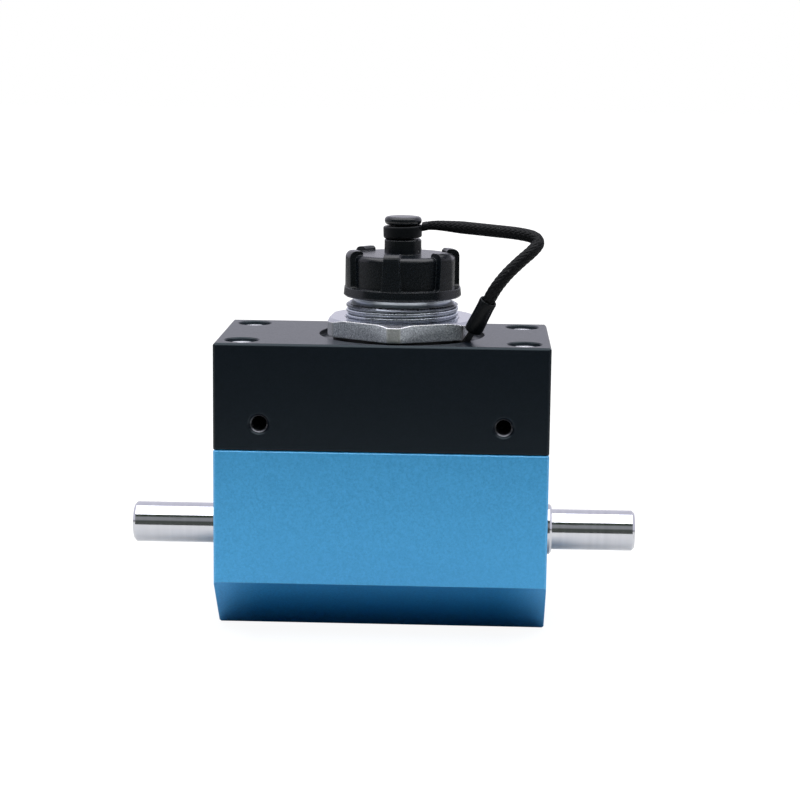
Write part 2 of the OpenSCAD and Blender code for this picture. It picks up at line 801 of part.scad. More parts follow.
// The retaining ring is open at its top and has two drilled ears there
module retaining_ring() {
    outer_r = bearing_od / 2 + seat_gap + retaining_groove - groove_gap;
    inner_r = outer_r - retaining_width;
    ear_d = 3;
    ear_hole_d = 1.3;
    ear_angle = 17;
    gap_angle = 12;
    color([0.25, 0.25, 0.27]) translate([retaining_x, 0, shaft_height]) rotate([90, 0, 90])
        linear_extrude(retaining_thickness) difference() {
            intersection() {
                circle(r = outer_r);
                union() {
                    difference() {
                        circle(r = outer_r);
                        circle(r = inner_r);
                    }
                    for (s = [-1, 1]) rotate(90 + s * ear_angle) translate([inner_r, 0]) circle(d = ear_d);
                }
            }
            polygon([
                [0, 0],
                2 * outer_r * [sin(gap_angle), cos(gap_angle)],
                2 * outer_r * [-sin(gap_angle), cos(gap_angle)]
            ]);
            for (s = [-1, 1]) rotate(90 + s * ear_angle) translate([inner_r, 0]) circle(d = ear_hole_d);
        }
}

module left_outer_ring() { on_side(-1) outer_ring(); }
module left_inner_ring() { on_side(-1) inner_ring(); }
module left_balls() { on_side(-1) balls(); }
module left_cage() { on_side(-1) cage(); }
module left_shields() { on_side(-1) shields(); }
module left_retaining_ring() { on_side(-1) retaining_ring(); }
module right_outer_ring() { outer_ring(); }
module right_inner_ring() { inner_ring(); }
module right_balls() { balls(); }
module right_cage() { cage(); }
module right_shields() { shields(); }
module right_retaining_ring() { retaining_ring(); }

// Coils and boards that stand still

module stator_coil() {
    color([0.55, 0.3, 0.16]) union() {
        shaft_ring(coil_x, coil_end_x, stator_bore_d, stator_d);
        translate([coil_x, -terminal_w / 2, terminal_z - terminal_h])
            cube([coil_width, terminal_w, terminal_h]);
    }
}

module power_stator_coil() {
    on_side(-1) stator_coil();
}

module signal_stator_coil() {
    stator_coil();
}

module coil_leads() {
    color([0.8, 0.15, 0.12]) for (sx = [-1, 1], sy = [-1, 1])
        translate([sx * coil_mid_x, sy * lead_y, terminal_z])
            cylinder(d = lead_d, h = board_bottom_z - terminal_z, $fn = 24);
}

module main_board() {
    color([0.08, 0.35, 0.18]) difference() {
        union() {
            translate([-board_length / 2, -board_depth / 2, board_bottom_z])
                cube([board_length, board_depth, board_thickness]);
            translate([chip_x - chip_length / 2, -chip_depth / 2, board_top_z - sink])
                cube([chip_length, chip_depth, chip_h + sink]);
            translate([converter_x, 0, board_bottom_z - converter_h])
                translate([-converter_length / 2, -converter_depth / 2, 0])
                    cube([converter_length, converter_depth, converter_h + sink]);
        }
        at_standoffs() translate([0, 0, board_bottom_z - over])
            cylinder(d = board_screw_d + 2 * screw_gap, h = board_thickness + 2 * over);
        at_pins() translate([0, 0, board_bottom_z - over])
            cylinder(d = pin_d + 2 * seat_gap, h = board_thickness + 2 * over, $fn = 24);
    }
}

module board_standoffs() {
    color([0.8, 0.65, 0.3]) at_standoffs() translate([0, 0, board_top_z]) difference() {
        cylinder(d = standoff_across / cos(30), h = standoff_length, $fn = 6);
        translate([0, 0, -over])
            cylinder(d = board_screw_d + 2 * seat_gap, h = standoff_length - standoff_end_wall + over);
    }
}

module board_screws() {
    screw_length = board_thickness + board_screw_grip;
    color([0.7, 0.7, 0.72]) at_standoffs() translate([0, 0, board_bottom_z]) {
        cylinder(d = board_screw_d, h = screw_length);
        translate([0, 0, -board_screw_head_h]) cylinder(d = board_screw_head_d, h = board_screw_head_h);
    }
}

// Connector

module at_pins() {
    on_connector() {
        children();
        for (i = [0:pin_count - 1])
            rotate(360 * i / pin_count) translate([pin_circle_d / 2, 0, 0]) children();
    }
}

module connector_shell() {
    flange_r = connector_flange_d / 2;
    panel_r = panel_thread_d / 2;
    neck_r = neck_d / 2;
    coupling_r = coupling_thread_d / 2;
    socket_r = socket_d / 2;
    rear_r = shell_rear_d / 2;
    color([0.72, 0.74, 0.78]) on_connector() rotate_extrude($fn = 96) polygon([
        [rear_r, flange_z],
        [flange_r, flange_z],
        [flange_r, roof_z],
        [panel_r, roof_z],
        [panel_r, panel_thread_z - panel_thread_lead],
        [neck_r + neck_foot, panel_thread_z],
        [neck_r, panel_thread_z],
        [neck_r, neck_end_z],
        [coupling_r, neck_end_z + neck_slope],
        [coupling_r, mouth_z - coupling_lead],
        [coupling_r - coupling_lead, mouth_z],
        [socket_r, mouth_z],
        [socket_r, shell_step_z],
        [rear_r, shell_step_z]
    ]);
}

module connector_insert() {
    insert_r = socket_d / 2 - seat_gap;
    raised_step = 1.2;
    raised_r = insert_r - raised_step;
    raised_h = 0.6;
    color([0.1, 0.1, 0.11]) difference() {
        on_connector() union() {
            translate([0, 0, shell_step_z])
                cylinder(r = insert_r, h = insert_top_z - raised_h - shell_step_z);
            translate([0, 0, insert_top_z - raised_h - sink]) cylinder(r = raised_r, h = raised_h + sink);
        }
        at_pins() translate([0, 0, flange_z])
            cylinder(d = pin_d + 2 * seat_gap, h = cap_top_z - flange_z, $fn = 24);
    }
}

module connector_pins() {
    tip = 0.3;
    color([0.85, 0.7, 0.35]) at_pins() translate([0, 0, pin_bottom_z]) {
        cylinder(d = pin_d, h = pin_top_z - tip - pin_bottom_z, $fn = 24);
        translate([0, 0, pin_top_z - tip - pin_bottom_z])
            cylinder(d1 = pin_d, d2 = pin_d - tip, h = tip, $fn = 24);
    }
}

module connector_washer() {
    color([0.06, 0.06, 0.07]) on_connector() translate([0, 0, recess_z]) difference() {
        cylinder(d = washer_d, h = washer_thickness);
        translate([0, 0, -over]) cylinder(d = washer_bore_d, h = washer_thickness + 2 * over);
    }
}

// A hexagon whose corners are turned down, with a cone over its upper edge
module connector_nut() {
    bevel_r = nut_bevel_d / 2;
    corner_r = nut_corner_d / 2;
    bevel_drop = (corner_r - bevel_r) * tan(nut_bevel_angle);
    mouth = 0.4;
    bore_r = nut_bore_d / 2;
    color([0.68, 0.69, 0.71]) on_connector() translate([0, 0, nut_z]) difference() {
        intersection() {
            rotate(nut_turn - 90) cylinder(d = nut_across / cos(30), h = nut_height, $fn = 6);
            rotate_extrude($fn = 96) polygon([
                [0, 0],
                [corner_r, 0],
                [corner_r, nut_height - bevel_drop],
                [bevel_r, nut_height],
                [0, nut_height]
            ]);
        }
        translate([0, 0, -over]) cylinder(r = bore_r, h = nut_height + 2 * over, $fn = 96);
        translate([0, 0, nut_height - mouth])
            cylinder(r1 = bore_r, r2 = bore_r + mouth + over, h = mouth + over, $fn = 96);
    }
}

// Tether

// A thin ring under the nut, with a tab that bends up out of the recess into the sleeve
module tab_section(extra) {
    half = eyelet_thickness / 2 + extra;
    mid_z = eyelet_z + eyelet_thickness / 2;
    foot = [sleeve_foot_r, sleeve_foot_z];
    head = foot + tab_depth_in_sleeve * [sin(sleeve_lean), cos(sleeve_lean)];
    rise = atan2(foot[1] - mid_z, foot[0] - tab_bend_r);
    lean = 90 - sleeve_lean;
    low_mitre = half * tan(rise / 2);
    high_mitre = half * tan((lean - rise) / 2);
    up = [cos(rise), sin(rise)];
    side = [-sin(rise), cos(rise)];
    top_side = [-cos(sleeve_lean), sin(sleeve_lean)];
    polygon([
        [washer_d / 2 - tab_overlap, mid_z - half],
        [tab_bend_r + low_mitre, mid_z - half],
        foot - half * side + high_mitre * up,
        head - half * top_side,
        head + half * top_side,
        foot + half * side - high_mitre * up,
        [tab_bend_r - low_mitre, mid_z + half],
        [washer_d / 2 - tab_overlap, mid_z + half]
    ]);
}

module tether_tab(extra) {
    on_connector() rotate([90, 0, tether_direction]) translate([0, 0, -tab_width / 2 - extra])
        linear_extrude(tab_width + 2 * extra) tab_section(extra);
}

module tether_eyelet() {
    color([0.75, 0.76, 0.78]) union() {
        on_connector() translate([0, 0, eyelet_z]) difference() {
            cylinder(d = washer_d, h = eyelet_thickness);
            translate([0, 0, -over]) cylinder(d = washer_bore_d, h = eyelet_thickness + 2 * over);
        }
        tether_tab(0);
    }
}

module tether_sleeve() {
    color([0.05, 0.05, 0.06]) difference() {
        translate(sleeve_foot) rotate([0, sleeve_lean, tether_direction])
            cylinder(d = sleeve_d, h = sleeve_length, $fn = 48);
        tether_tab(seat_gap);
    }
}

// A point of the smooth curve through the cord's points, a share t of the way past point i
function cord_at(i, t) =
    let (
        last = len(cord_points) - 1,
        p0 = i > 0 ? cord_points[i - 1] : 2 * cord_points[0] - cord_points[1],
        p1 = cord_points[i],
        p2 = cord_points[i + 1],
        p3 = i + 2 <= last ? cord_points[i + 2] : p2 + norm(p2 - p1) * sleeve_axis * -1
    )
    p1 + (
        (p2 - p0) * t
        + (2 * p0 - 5 * p1 + 4 * p2 - p3) * t * t
        + (3 * p1 - p0 - 3 * p2 + p3) * t * t * t
    ) / 2;

function unit(v) = v / norm(v);

cord_line = concat(
    [for (i = [0:len(cord_points) - 2], s = [0:cord_steps - 1]) cord_at(i, s / cord_steps)],
    [sleeve_head]
);
cord_last = len(cord_line) - 1;

// Direction of the cord at a ring of its tube: along the stub at one end, along the sleeve at the other
function cord_way(k) =
    k == 0 ? stub_way :
    k == cord_last ? -sleeve_axis :
    unit(cord_line[k + 1] - cord_line[k - 1]);

// Each ring's first side is carried along the cord, so that the tube doesn't twist
function cord_side(k) = k == 0 ? [0, 1, 0] : unit(cord_level(cord_side(k - 1), cord_way(k)));
function cord_level(v, way) = v - (v * way) * way;
function cord_r(k) = (stub_d + (cord_d - stub_d) * min(1, k / cord_taper)) / 2;

module tether_cord() {
    rings = [
        for (k = [0:cord_last])
            let (way = cord_way(k), u = cord_side(k), v = cross(way, u))
            for (j = [0:cord_sides - 1])
                let (a = 360 * j / cord_sides)
                cord_line[k] + cord_r(k) * (cos(a) * u + sin(a) * v)
    ];
    walls = [
        for (k = [0:cord_last - 1], j = [0:cord_sides - 1])
            let (
                n = (j + 1) % cord_sides,
                a = k * cord_sides + j,
                b = k * cord_sides + n,
                c = (k + 1) * cord_sides + n,
                d = (k + 1) * cord_sides + j
            )
            each [[a, c, b], [a, d, c]]
    ];
    start_cap = [for (j = [0:cord_sides - 1]) j];
    end_cap = [for (j = [cord_sides - 1:-1:0]) cord_last * cord_sides + j];
    color([0.05, 0.05, 0.06]) polyhedron(points = rings, faces = concat(walls, [start_cap, end_cap]));
}

module tether_ring() {
    round_edge = 0.35;
    outer_r = tether_ring_d / 2;
    half_h = tether_ring_h / 2;
    bore_r = ring_bore_d / 2;
    color([0.06, 0.06, 0.07]) difference() {
        union() {
            translate(ring_centre) rotate([0, -tether_ring_tilt, 0])
                rotate_extrude() polygon(concat(
                    [[0, -half_h]],
                    arc([outer_r - round_edge, -half_h + round_edge], round_edge, -90, 0, 3),
                    arc([outer_r - round_edge, half_h - round_edge], round_edge, 0, 90, 3),
                    [[0, half_h]]
                ));
            translate(stub_root) rotate([0, 90 - stub_lift, 0])
                cylinder(d = stub_d, h = stub_depth + stub_length, $fn = 32);
        }
        translate(ring_centre) rotate([0, -tether_ring_tilt, 0])
            translate([0, 0, -tether_ring_h]) cylinder(r = bore_r, h = 2 * tether_ring_h);
        translate([connector_x, 0, button_z]) cylinder(d = button_d + 2 * button_room, h = button_h);
    }
}

// Dust cap

// The cap without its ribs, as one turned outline from the rim to the button
module cap_core() {
    rim_r = cap_rim_d / 2;
    wall_r = cap_wall_d / 2;
    post_r = post_d / 2;
    button_r = button_d / 2;
    rim_edge = 0.3;
    rim_draft = 0.15;
    post_edge = 0.25;
    rotate_extrude($fn = 96) polygon(concat(
        [
            [0, cap_z],
            [rim_r - rim_edge, cap_z],
            [rim_r, cap_z + rim_edge],
            [rim_r - rim_draft, cap_z + cap_rim_h],
            [wall_r, cap_z + cap_rim_h]
        ],
        arc([wall_r - cap_shoulder, cap_top_z - cap_shoulder], cap_shoulder, 0, 90),
        [
            [post_r, cap_top_z],
            [post_r, post_top_z - post_edge],
            [post_r - post_edge, post_top_z],
            [post_neck_d / 2, post_top_z],
            [post_neck_d / 2, button_z]
        ],
        arc([button_r - button_round, button_z + button_round], button_round, -90, 0, 4),
        arc([button_r - button_round, button_top_z - button_round], button_round, 0, 90, 4),
        [[0, button_top_z]]
    ));
}

// One rib seen along its radius: tapered, with a rounded foot on the rim
module rib_face() {
    foot_z = cap_z + cap_rim_h - 2 * sink;
    fillet_z = cap_z + cap_rim_h + cap_rib_fillet;
    top_z = cap_top_z + cap_rib_rise + over;
    foot_w = cap_rib_foot / 2;
    top_w = cap_rib_width / 2;
    right = concat(
        [[foot_w + cap_rib_fillet, foot_z]],
        arc([foot_w + cap_rib_fillet, fillet_z], cap_rib_fillet, 270, 180, 4),
        [[top_w, top_z]]
    );
    left = [for (i = [len(right) - 1:-1:0]) [-right[i][0], right[i][1]]];
    polygon(concat(right, left));
}

module cap_ribs() {
    rib_r = cap_rib_d / 2;
    inner_r = rib_r - cap_rib_reach;
    rib_top_z = cap_top_z + cap_rib_rise;
    inner_edge = 0.4;
    intersection() {
        rotate_extrude($fn = 96) polygon(concat(
            [
                [inner_r, cap_z],
                [rib_r, cap_z]
            ],
            arc([rib_r - cap_rib_round, rib_top_z - cap_rib_round], cap_rib_round, 0, 90),
            [
                [inner_r + inner_edge, rib_top_z],
                [inner_r, rib_top_z - inner_edge]
            ]
        ));
        union() {
            for (i = [0:cap_rib_count - 1]) rotate(cap_rib_turn + 360 * i / cap_rib_count)
                rotate([90, 0, 0]) translate([0, 0, inner_r - over]) linear_extrude(rib_r) rib_face();
        }
    }
}

module dust_cap() {
    bore_r = cap_bore_d / 2;
    mouth = 0.4;
    color([0.07, 0.07, 0.08]) on_connector() difference() {
        union() {
            cap_core();
            cap_ribs();
        }
        translate([0, 0, cap_z - over]) cylinder(r = bore_r, h = cap_ceiling_z - cap_z + over, $fn = 96);
        translate([0, 0, cap_z - over])
            cylinder(r1 = bore_r + mouth + over, r2 = bore_r, h = mouth + over, $fn = 96);
    }
}

module cap_seal() {
    seal_r = cap_bore_d / 2 - seat_gap;
    seal_width = 2;
    color([0.3, 0.1, 0.08]) on_connector() translate([0, 0, mouth_z]) difference() {
        cylinder(r = seal_r, h = cap_seal_thickness);
        translate([0, 0, -over]) cylinder(r = seal_r - seal_width, h = cap_seal_thickness + 2 * over);
    }
}

base_housing();
electronics_cover();
cover_gasket();
cover_screws();
torque_shaft();
strain_gauges();
left_spacer();
right_spacer();
left_outer_ring();
left_inner_ring();
left_balls();
left_cage();
left_shields();
left_retaining_ring();
right_outer_ring();
right_inner_ring();
right_balls();
right_cage();
right_shields();
right_retaining_ring();
power_rotor_coil();
power_stator_coil();
signal_rotor_coil();
signal_stator_coil();
rotor_board();
main_board();
board_standoffs();
board_screws();
coil_leads();
connector_shell();
connector_insert();
connector_pins();
connector_washer();
connector_nut();
tether_eyelet();
tether_sleeve();
tether_cord();
tether_ring();
dust_cap();
cap_seal();
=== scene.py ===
"""Looks of the rotary torque sensor: its finishes, screw threads, braided tether and a plain studio."""

import json
import math

import bmesh
import bpy
from mathutils import Matrix, Vector


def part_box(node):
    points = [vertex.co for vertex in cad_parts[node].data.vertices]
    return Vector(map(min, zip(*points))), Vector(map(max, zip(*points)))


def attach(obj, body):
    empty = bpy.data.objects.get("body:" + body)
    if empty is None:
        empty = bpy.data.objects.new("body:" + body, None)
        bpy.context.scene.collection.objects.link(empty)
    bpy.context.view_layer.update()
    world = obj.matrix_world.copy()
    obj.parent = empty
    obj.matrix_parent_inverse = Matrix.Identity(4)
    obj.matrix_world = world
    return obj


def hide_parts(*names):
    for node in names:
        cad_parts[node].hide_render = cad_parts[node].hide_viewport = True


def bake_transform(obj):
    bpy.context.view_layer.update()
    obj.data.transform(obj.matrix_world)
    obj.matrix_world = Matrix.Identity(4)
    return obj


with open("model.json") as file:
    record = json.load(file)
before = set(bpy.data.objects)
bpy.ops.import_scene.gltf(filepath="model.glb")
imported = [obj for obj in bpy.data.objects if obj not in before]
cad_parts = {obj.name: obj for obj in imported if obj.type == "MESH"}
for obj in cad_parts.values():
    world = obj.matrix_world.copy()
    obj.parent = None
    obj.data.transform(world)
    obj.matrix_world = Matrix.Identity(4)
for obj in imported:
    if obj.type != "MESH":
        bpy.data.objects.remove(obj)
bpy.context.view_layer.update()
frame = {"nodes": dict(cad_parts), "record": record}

MM = 0.001
MERGE_REACH = 1e-7
CREASE = math.radians(35)
WHITE = (1, 1, 1, 1)

# Camera, as it stood for the photograph
CAMERA_PLACE = (0.017399, -0.407054, 0.113959)
CAMERA_AHEAD = (-0.03492, 0.98485, -0.16983)
CAMERA_ROLL = math.radians(0.651)
CAMERA_LENS = 94.275
CAMERA_SENSOR = 36.0

# Studio
SOFTBOX_HEIGHT = 0.65
SOFTBOX_FRONT = -0.47
SOFTBOX_BACK = 0.29
SOFTBOX_WIDTH = 1.3
SOFTBOX_WATTS = 8.0
FILL_LEVEL = 0.5
BACKDROP_WHITE = 1.0
BACKDROP_IN_GLOSS = (0.84, 0.83, 0.94, 1)
# The floor's tones are what reflections show: its own, a painted shade tinted blue as bounced light under
# the foot, and far to the sides
FLOOR_HALF = 3.0
FLOOR_DROP = 0.02 * MM
FLOOR_TONE = (0.75, 0.75, 0.75, 1)
FLOOR_PAINTED_SHADE_AT_FOOT = (0.02, 0.11, 0.2, 1)
FLOOR_TONE_AFAR = (0.22, 0.22, 0.22, 1)
# Reach of the painted shade under the foot, across and along
FLOOR_FOOT_X = (0.024, 0.04)
FLOOR_FOOT_Y = (0.012, 0.038)
FLOOR_AFAR = (0.2, 0.42)
FLOOR_AFAR_STRETCH = (1, 0.35, 0)
# How much of the floor's shade the camera sees, and where that fades out
FLOOR_SHADOW_SHARE = 0.22
FLOOR_SHADOW_REACH = 0.25
FLOOR_SHADOW_FADE = 0.6
FLOOR_WHITE = 1.2
# Unlit room in front of the object, with a lamp-lit band given as shares of its height
DARK_ROOM_NEAR = -0.168
DARK_ROOM_FAR = -1.25
DARK_ROOM_HEIGHT = 1.75
DARK_ROOM_HALF = 3.0
DARK_ROOM_SIDE = 1.1
DARK_ROOM_SIDE_HEIGHT = 1.0
DARK_ROOM_RISE = 1.0 * MM
DARK_ROOM_LOW_TONE = (0.1, 0.11, 0.1, 1)
DARK_ROOM_HIGH_TONE = (0.03, 0.05, 0.03, 1)
LAMP_LIT_TONE = (0.33, 0.34, 0.35, 1)
LAMP_LIT_FROM = (0.2, 0.3)
LAMP_LIT_TO = (0.55, 0.65)

# Connector, about its own upright axis
shell_low, shell_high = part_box("connector_shell")
nut_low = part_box("connector_nut")[0]
cap_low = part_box("dust_cap")[0]
cover_low, cover_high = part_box("electronics_cover")
CONNECTOR_X = (shell_low.x + shell_high.x) / 2
CONNECTOR_AXIS = Vector((CONNECTOR_X, 0, 0))
PANEL_THREAD_R = 10.95 * MM
PANEL_PITCH = 1.0 * MM
PANEL_TOP = cover_high.z + 6.65 * MM
PANEL_LEAD = 0.65 * MM
PANEL_RUN_OUT = 0.3 * MM
# Where the painted shade on the panel thread's lead starts and where it is full, below the lead's low end
PANEL_LEAD_SHADE_REACH = (0.65 * MM, 0.35 * MM)
COUPLING_R = 8.9 * MM
COUPLING_PITCH = 1.0 * MM
COUPLING_LEAD = 0.6 * MM
COUPLING_RUN_OUT = 0.2 * MM
THREAD_DEPTH = 0.55 * MM
# Radii below the crest where the painted highlight on the crests starts and is full, and where the painted
# shade on their flats starts and is full
THREAD_CREST_FROM = 0.85 * THREAD_DEPTH
THREAD_CREST_TO = 0.2 * THREAD_DEPTH
THREAD_FLAT_FROM = 0.03 * MM
THREAD_FLAT_TO = 0.01 * MM
THREAD_STEPS = 72
NUT_CORNER_R = 15.3 * MM
NUT_CORNER_FADE = (0.15 * MM, 0.03 * MM)
NECK_R = 9.45 * MM
PANEL_END_R = NECK_R + 0.2 * MM
NECK_TOP = cap_low.z - 0.3 * MM
NECK_SLOPE = 0.25 * MM
NECK_FLARE = 0.16 * MM
NECK_FLARE_H = 0.9 * MM
FLANGE_H = 2.0 * MM
SOCKET_R = 7.3 * MM
SHELL_REAR_R = 6.0 * MM
SHELL_STEP = 2.5 * MM
SHELL_SIDES = 120

# Section of a thread's ridge, as shares of its pitch, and of its depth for how far it is sunk
RIDGE_HALF_FOOT = 0.46
RIDGE_HALF_CREST = 0.17
RIDGE_EASE = 0.08
RIDGE_SUNK = 0.15
RIDGE_EASE_SLOPE = 0.577

# Front fixing holes
FIXING_X = 23.25 * MM
FIXING_Z = 41.6 * MM
FIXING_R = 1.65 * MM
FIXING_PITCH = 0.7 * MM
FIXING_RIDGE = 0.22 * MM
FIXING_START = 0.35 * MM
FIXING_DEPTH = 6.6 * MM
FIXING_STEPS = 48

# Tether, from the ring's stub to the sleeve
CORD_D = 2.5 * MM
CORD_START_D = 1.75 * MM
CORD_TAPER = 7.0 * MM
CORD_ROUTE_MM = [
    (8.013, 0, 78.258),
    (9.913, -0.4, 78.358),
    (12.913, -1.4, 78.258),
    (16.913, -3, 78.058),
    (20.913, -4.9, 77.858),
    (24.913, -7, 77.658),
    (27.663, -8.6, 77.308),
    (28.763, -9.4, 76.858),
    (29.163, -10.05, 76.208),
    (28.813, -10.75, 75.508),
    (27.789, -11.598, 74.462),
    (25.689, -12.398, 72.662),
    (23.339, -12.998, 70.362),
    (21.389, -13.098, 67.862),
    (19.989, -12.198, 65.262),
]
SLEEVE_FOOT = Vector((17.157, -10.141, 59.2)) * MM
SLEEVE_AXIS = Vector((0.404508, -0.293893, 0.866025))
SLEEVE_LENGTH = 7.0 * MM
SLEEVE_R = 1.85 * MM
SLEEVE_WALL = 0.45 * MM
SLEEVE_HEAD_SCALE = (0.94, 0.93)
SLEEVE_FOOT_SCALE = (0.92, 1.05)
SLEEVE_SIDES = 48
BRAID_STRANDS = 12
BRAID_LEAD = 13.0 * MM
BRAID_YARN_HALF_WIDTH = 0.25 * MM
BRAID_YARN_HALF_THICK = 0.1 * MM
BRAID_WAVE = 0.05 * MM
BRAID_STEPS_PER_CROSSING = 3
BRAID_YARN_SIDES = 8
BRAID_CREASE = math.radians(80)
ROUTE_STEPS = 24


# Mesh helpers

def piece_from(bm, name, body, material, crease=CREASE):
    """Finishes a bmesh as an object at the origin. It rides on a body, or on none where body is None."""
    bmesh.ops.remove_doubles(bm, verts=bm.verts, dist=MERGE_REACH)
    bmesh.ops.recalc_face_normals(bm, faces=bm.faces)
    mesh = bpy.data.meshes.new(name)
    bm.to_mesh(mesh)
    bm.free()
    mesh.materials.append(material)
    mesh.shade_smooth()
    mesh.set_sharp_from_angle(angle=crease)
    piece = bpy.data.objects.new(name, mesh)
    bpy.context.scene.collection.objects.link(piece)
    if body:
        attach(piece, body)
    return piece


def spin_outline(bm, outline, steps):
    """Turns a closed outline of (radius, height) about the upright axis through the origin."""
    verts = [bm.verts.new((r, 0, z)) for r, z in outline]
    edges = [bm.edges.new(pair) for pair in zip(verts, verts[1:] + verts[:1])]
    bmesh.ops.spin(
        bm, geom=verts + edges, cent=(0, 0, 0), axis=(0, 0, 1),
        angle=2 * math.pi, steps=steps, use_merge=True,
    )


def thread_ridge(bm, root_r, crest_r, pitch, low, high, steps_per_turn=THREAD_STEPS):
    """A helical ridge about the upright axis through the origin, with a flat crest and closed ends."""
    turns = (high - low) / pitch
    steps = int(turns * steps_per_turn)
    half_foot = RIDGE_HALF_FOOT * pitch
    half_crest = RIDGE_HALF_CREST * pitch
    ease = RIDGE_EASE * pitch
    inner = root_r - RIDGE_SUNK * (crest_r - root_r)
    eased_r = crest_r - math.copysign(RIDGE_EASE_SLOPE * ease, crest_r - root_r)
    section = [
        (inner, -half_foot),
        (root_r, -half_foot),
        (eased_r, -half_crest - ease),
        (crest_r, -half_crest),
        (crest_r, half_crest),
        (eased_r, half_crest + ease),
        (root_r, half_foot),
        (inner, half_foot),
    ]
    verts = [bm.verts.new((r, 0, low + z)) for r, z in section]
    start = bm.faces.new(verts)
    bmesh.ops.spin(
        bm, geom=[start], cent=(0, 0, 0), axis=(0, 0, 1), dvec=(0, 0, (high - low) / steps),
        angle=2 * math.pi * turns, steps=steps, use_merge=False,
    )


# Shader helpers

def new_tree(name):
    material = bpy.data.materials.new(name)
    material.use_nodes = True
    tree = material.node_tree
    tree.nodes.clear()
    return material, tree


def feed(tree, socket, value):
    """Links another node's output into a socket, or sets a plain value on it."""
    if isinstance(value, bpy.types.NodeSocket):
        tree.links.new(value, socket)
    else:
        socket.default_value = value


def node(tree, kind, inputs=None, **settings):
    """Adds a node, sets its properties and feeds its inputs."""
    made = tree.nodes.new(kind)
    for name, value in settings.items():
        setattr(made, name, value)
    for name, value in (inputs or {}).items():
        feed(tree, made.inputs[name], value)
    return made


def ramp(tree, value, low, high, to_low=0.0, to_high=1.0):
    """A value mapped from one range to another and clamped."""
    made = node(tree, "ShaderNodeMapRange", {
        "Value": value, "From Min": low, "From Max": high, "To Min": to_low, "To Max": to_high,
    })
    return made.outputs["Result"]


def mix_colour(tree, share, a, b):
    """Colour a, turned into b by a share from 0 to 1. The numbers are the node's colour sockets."""
    return node(tree, "ShaderNodeMix", {0: share, 6: a, 7: b}, data_type="RGBA").outputs[2]


def math_node(tree, operation, a, b=None):
    inputs = {0: a} if b is None else {0: a, 1: b}
    return node(tree, "ShaderNodeMath", inputs, operation=operation).outputs[0]


def times(tree, a, b):
    return math_node(tree, "MULTIPLY", a, b)


def vector_math(tree, operation, a, b=None, output="Vector"):
    inputs = {0: a} if b is None else {0: a, 1: b}
    return node(tree, "ShaderNodeVectorMath", inputs, operation=operation).outputs[output]


def noise(tree, vector, scale, detail=2.0, roughness=0.5):
    made = node(tree, "ShaderNodeTexNoise", {
        "Vector": vector, "Scale": scale, "Detail": detail, "Roughness": roughness,
    })
    return made.outputs["Fac"]


def new_group(name, inputs, outputs):
    """A shader node group with named sockets. It returns the group's tree, its input and its output node."""
    group = bpy.data.node_groups.new(name, "ShaderNodeTree")
    for label, kind, value in inputs:
        socket = group.interface.new_socket(label, in_out="INPUT", socket_type=kind)
        if value is not None:
            socket.default_value = value
    for label, kind in outputs:
        group.interface.new_socket(label, in_out="OUTPUT", socket_type=kind)
    return group, group.nodes.new("NodeGroupInput"), group.nodes.new("NodeGroupOutput")


def use_group(tree, group, inputs):
    return node(tree, "ShaderNodeGroup", inputs, node_tree=group).outputs


def object_place(tree):
    return node(tree, "ShaderNodeTexCoord").outputs["Object"]


def finish_surface(tree, **sockets):
    """The material's shader and output. Underscores in a socket's name stand for spaces."""
    shader = node(tree, "ShaderNodeBsdfPrincipled")
    for name, value in sockets.items():
        feed(tree, shader.inputs[name.replace("_", " ")], value)
    node(tree, "ShaderNodeOutputMaterial", {"Surface": shader.outputs[0]})


def bump(tree, height, distance, strength=1.0, normal=None):
    inputs = {"Height": height, "Distance": distance, "Strength": strength}
    if normal is not None:
        inputs["Normal"] = normal
    return node(tree, "ShaderNodeBump", inputs).outputs["Normal"]


def srgb(r, g, b):
    """A colour as it is seen, from 0 to 255, as linear light."""
    def channel(c):
        c /= 255
        return c / 12.92 if c <= 0.04045 else ((c + 0.055) / 1.055) ** 2.4
    return (channel(r), channel(g), channel(b), 1.0)


# Shared effects

def make_blasted_grain():
    """Fine pits of a blasted surface: a speckle for the colour and a height for the bump."""
    group, given, out = new_group(
        "blasted_grain",
        [("Place", "NodeSocketVector", None), ("Grain", "NodeSocketFloat", 0.25)],
        [("Speckle", "NodeSocketFloat"), ("Height", "NodeSocketFloat"), ("Cloud", "NodeSocketFloat")],
    )
    per_metre = math_node(group, "DIVIDE", 1 / MM, given.outputs["Grain"])
    coarse = noise(group, given.outputs["Place"], per_metre, 3.0, 0.6)
    cloud = noise(group, given.outputs["Place"], times(group, per_metre, 0.02), 2.0)
    fine_scale = times(group, per_metre, 2.7)
    fine = noise(group, given.outputs["Place"], fine_scale, 1.0)
    both = math_node(group, "ADD", times(group, coarse, 0.65), times(group, fine, 0.35))
    group.links.new(ramp(group, both, 0.36, 0.64), out.inputs["Speckle"])
    group.links.new(both, out.inputs["Height"])
    group.links.new(ramp(group, cloud, 0.3, 0.7), out.inputs["Cloud"])
    return group


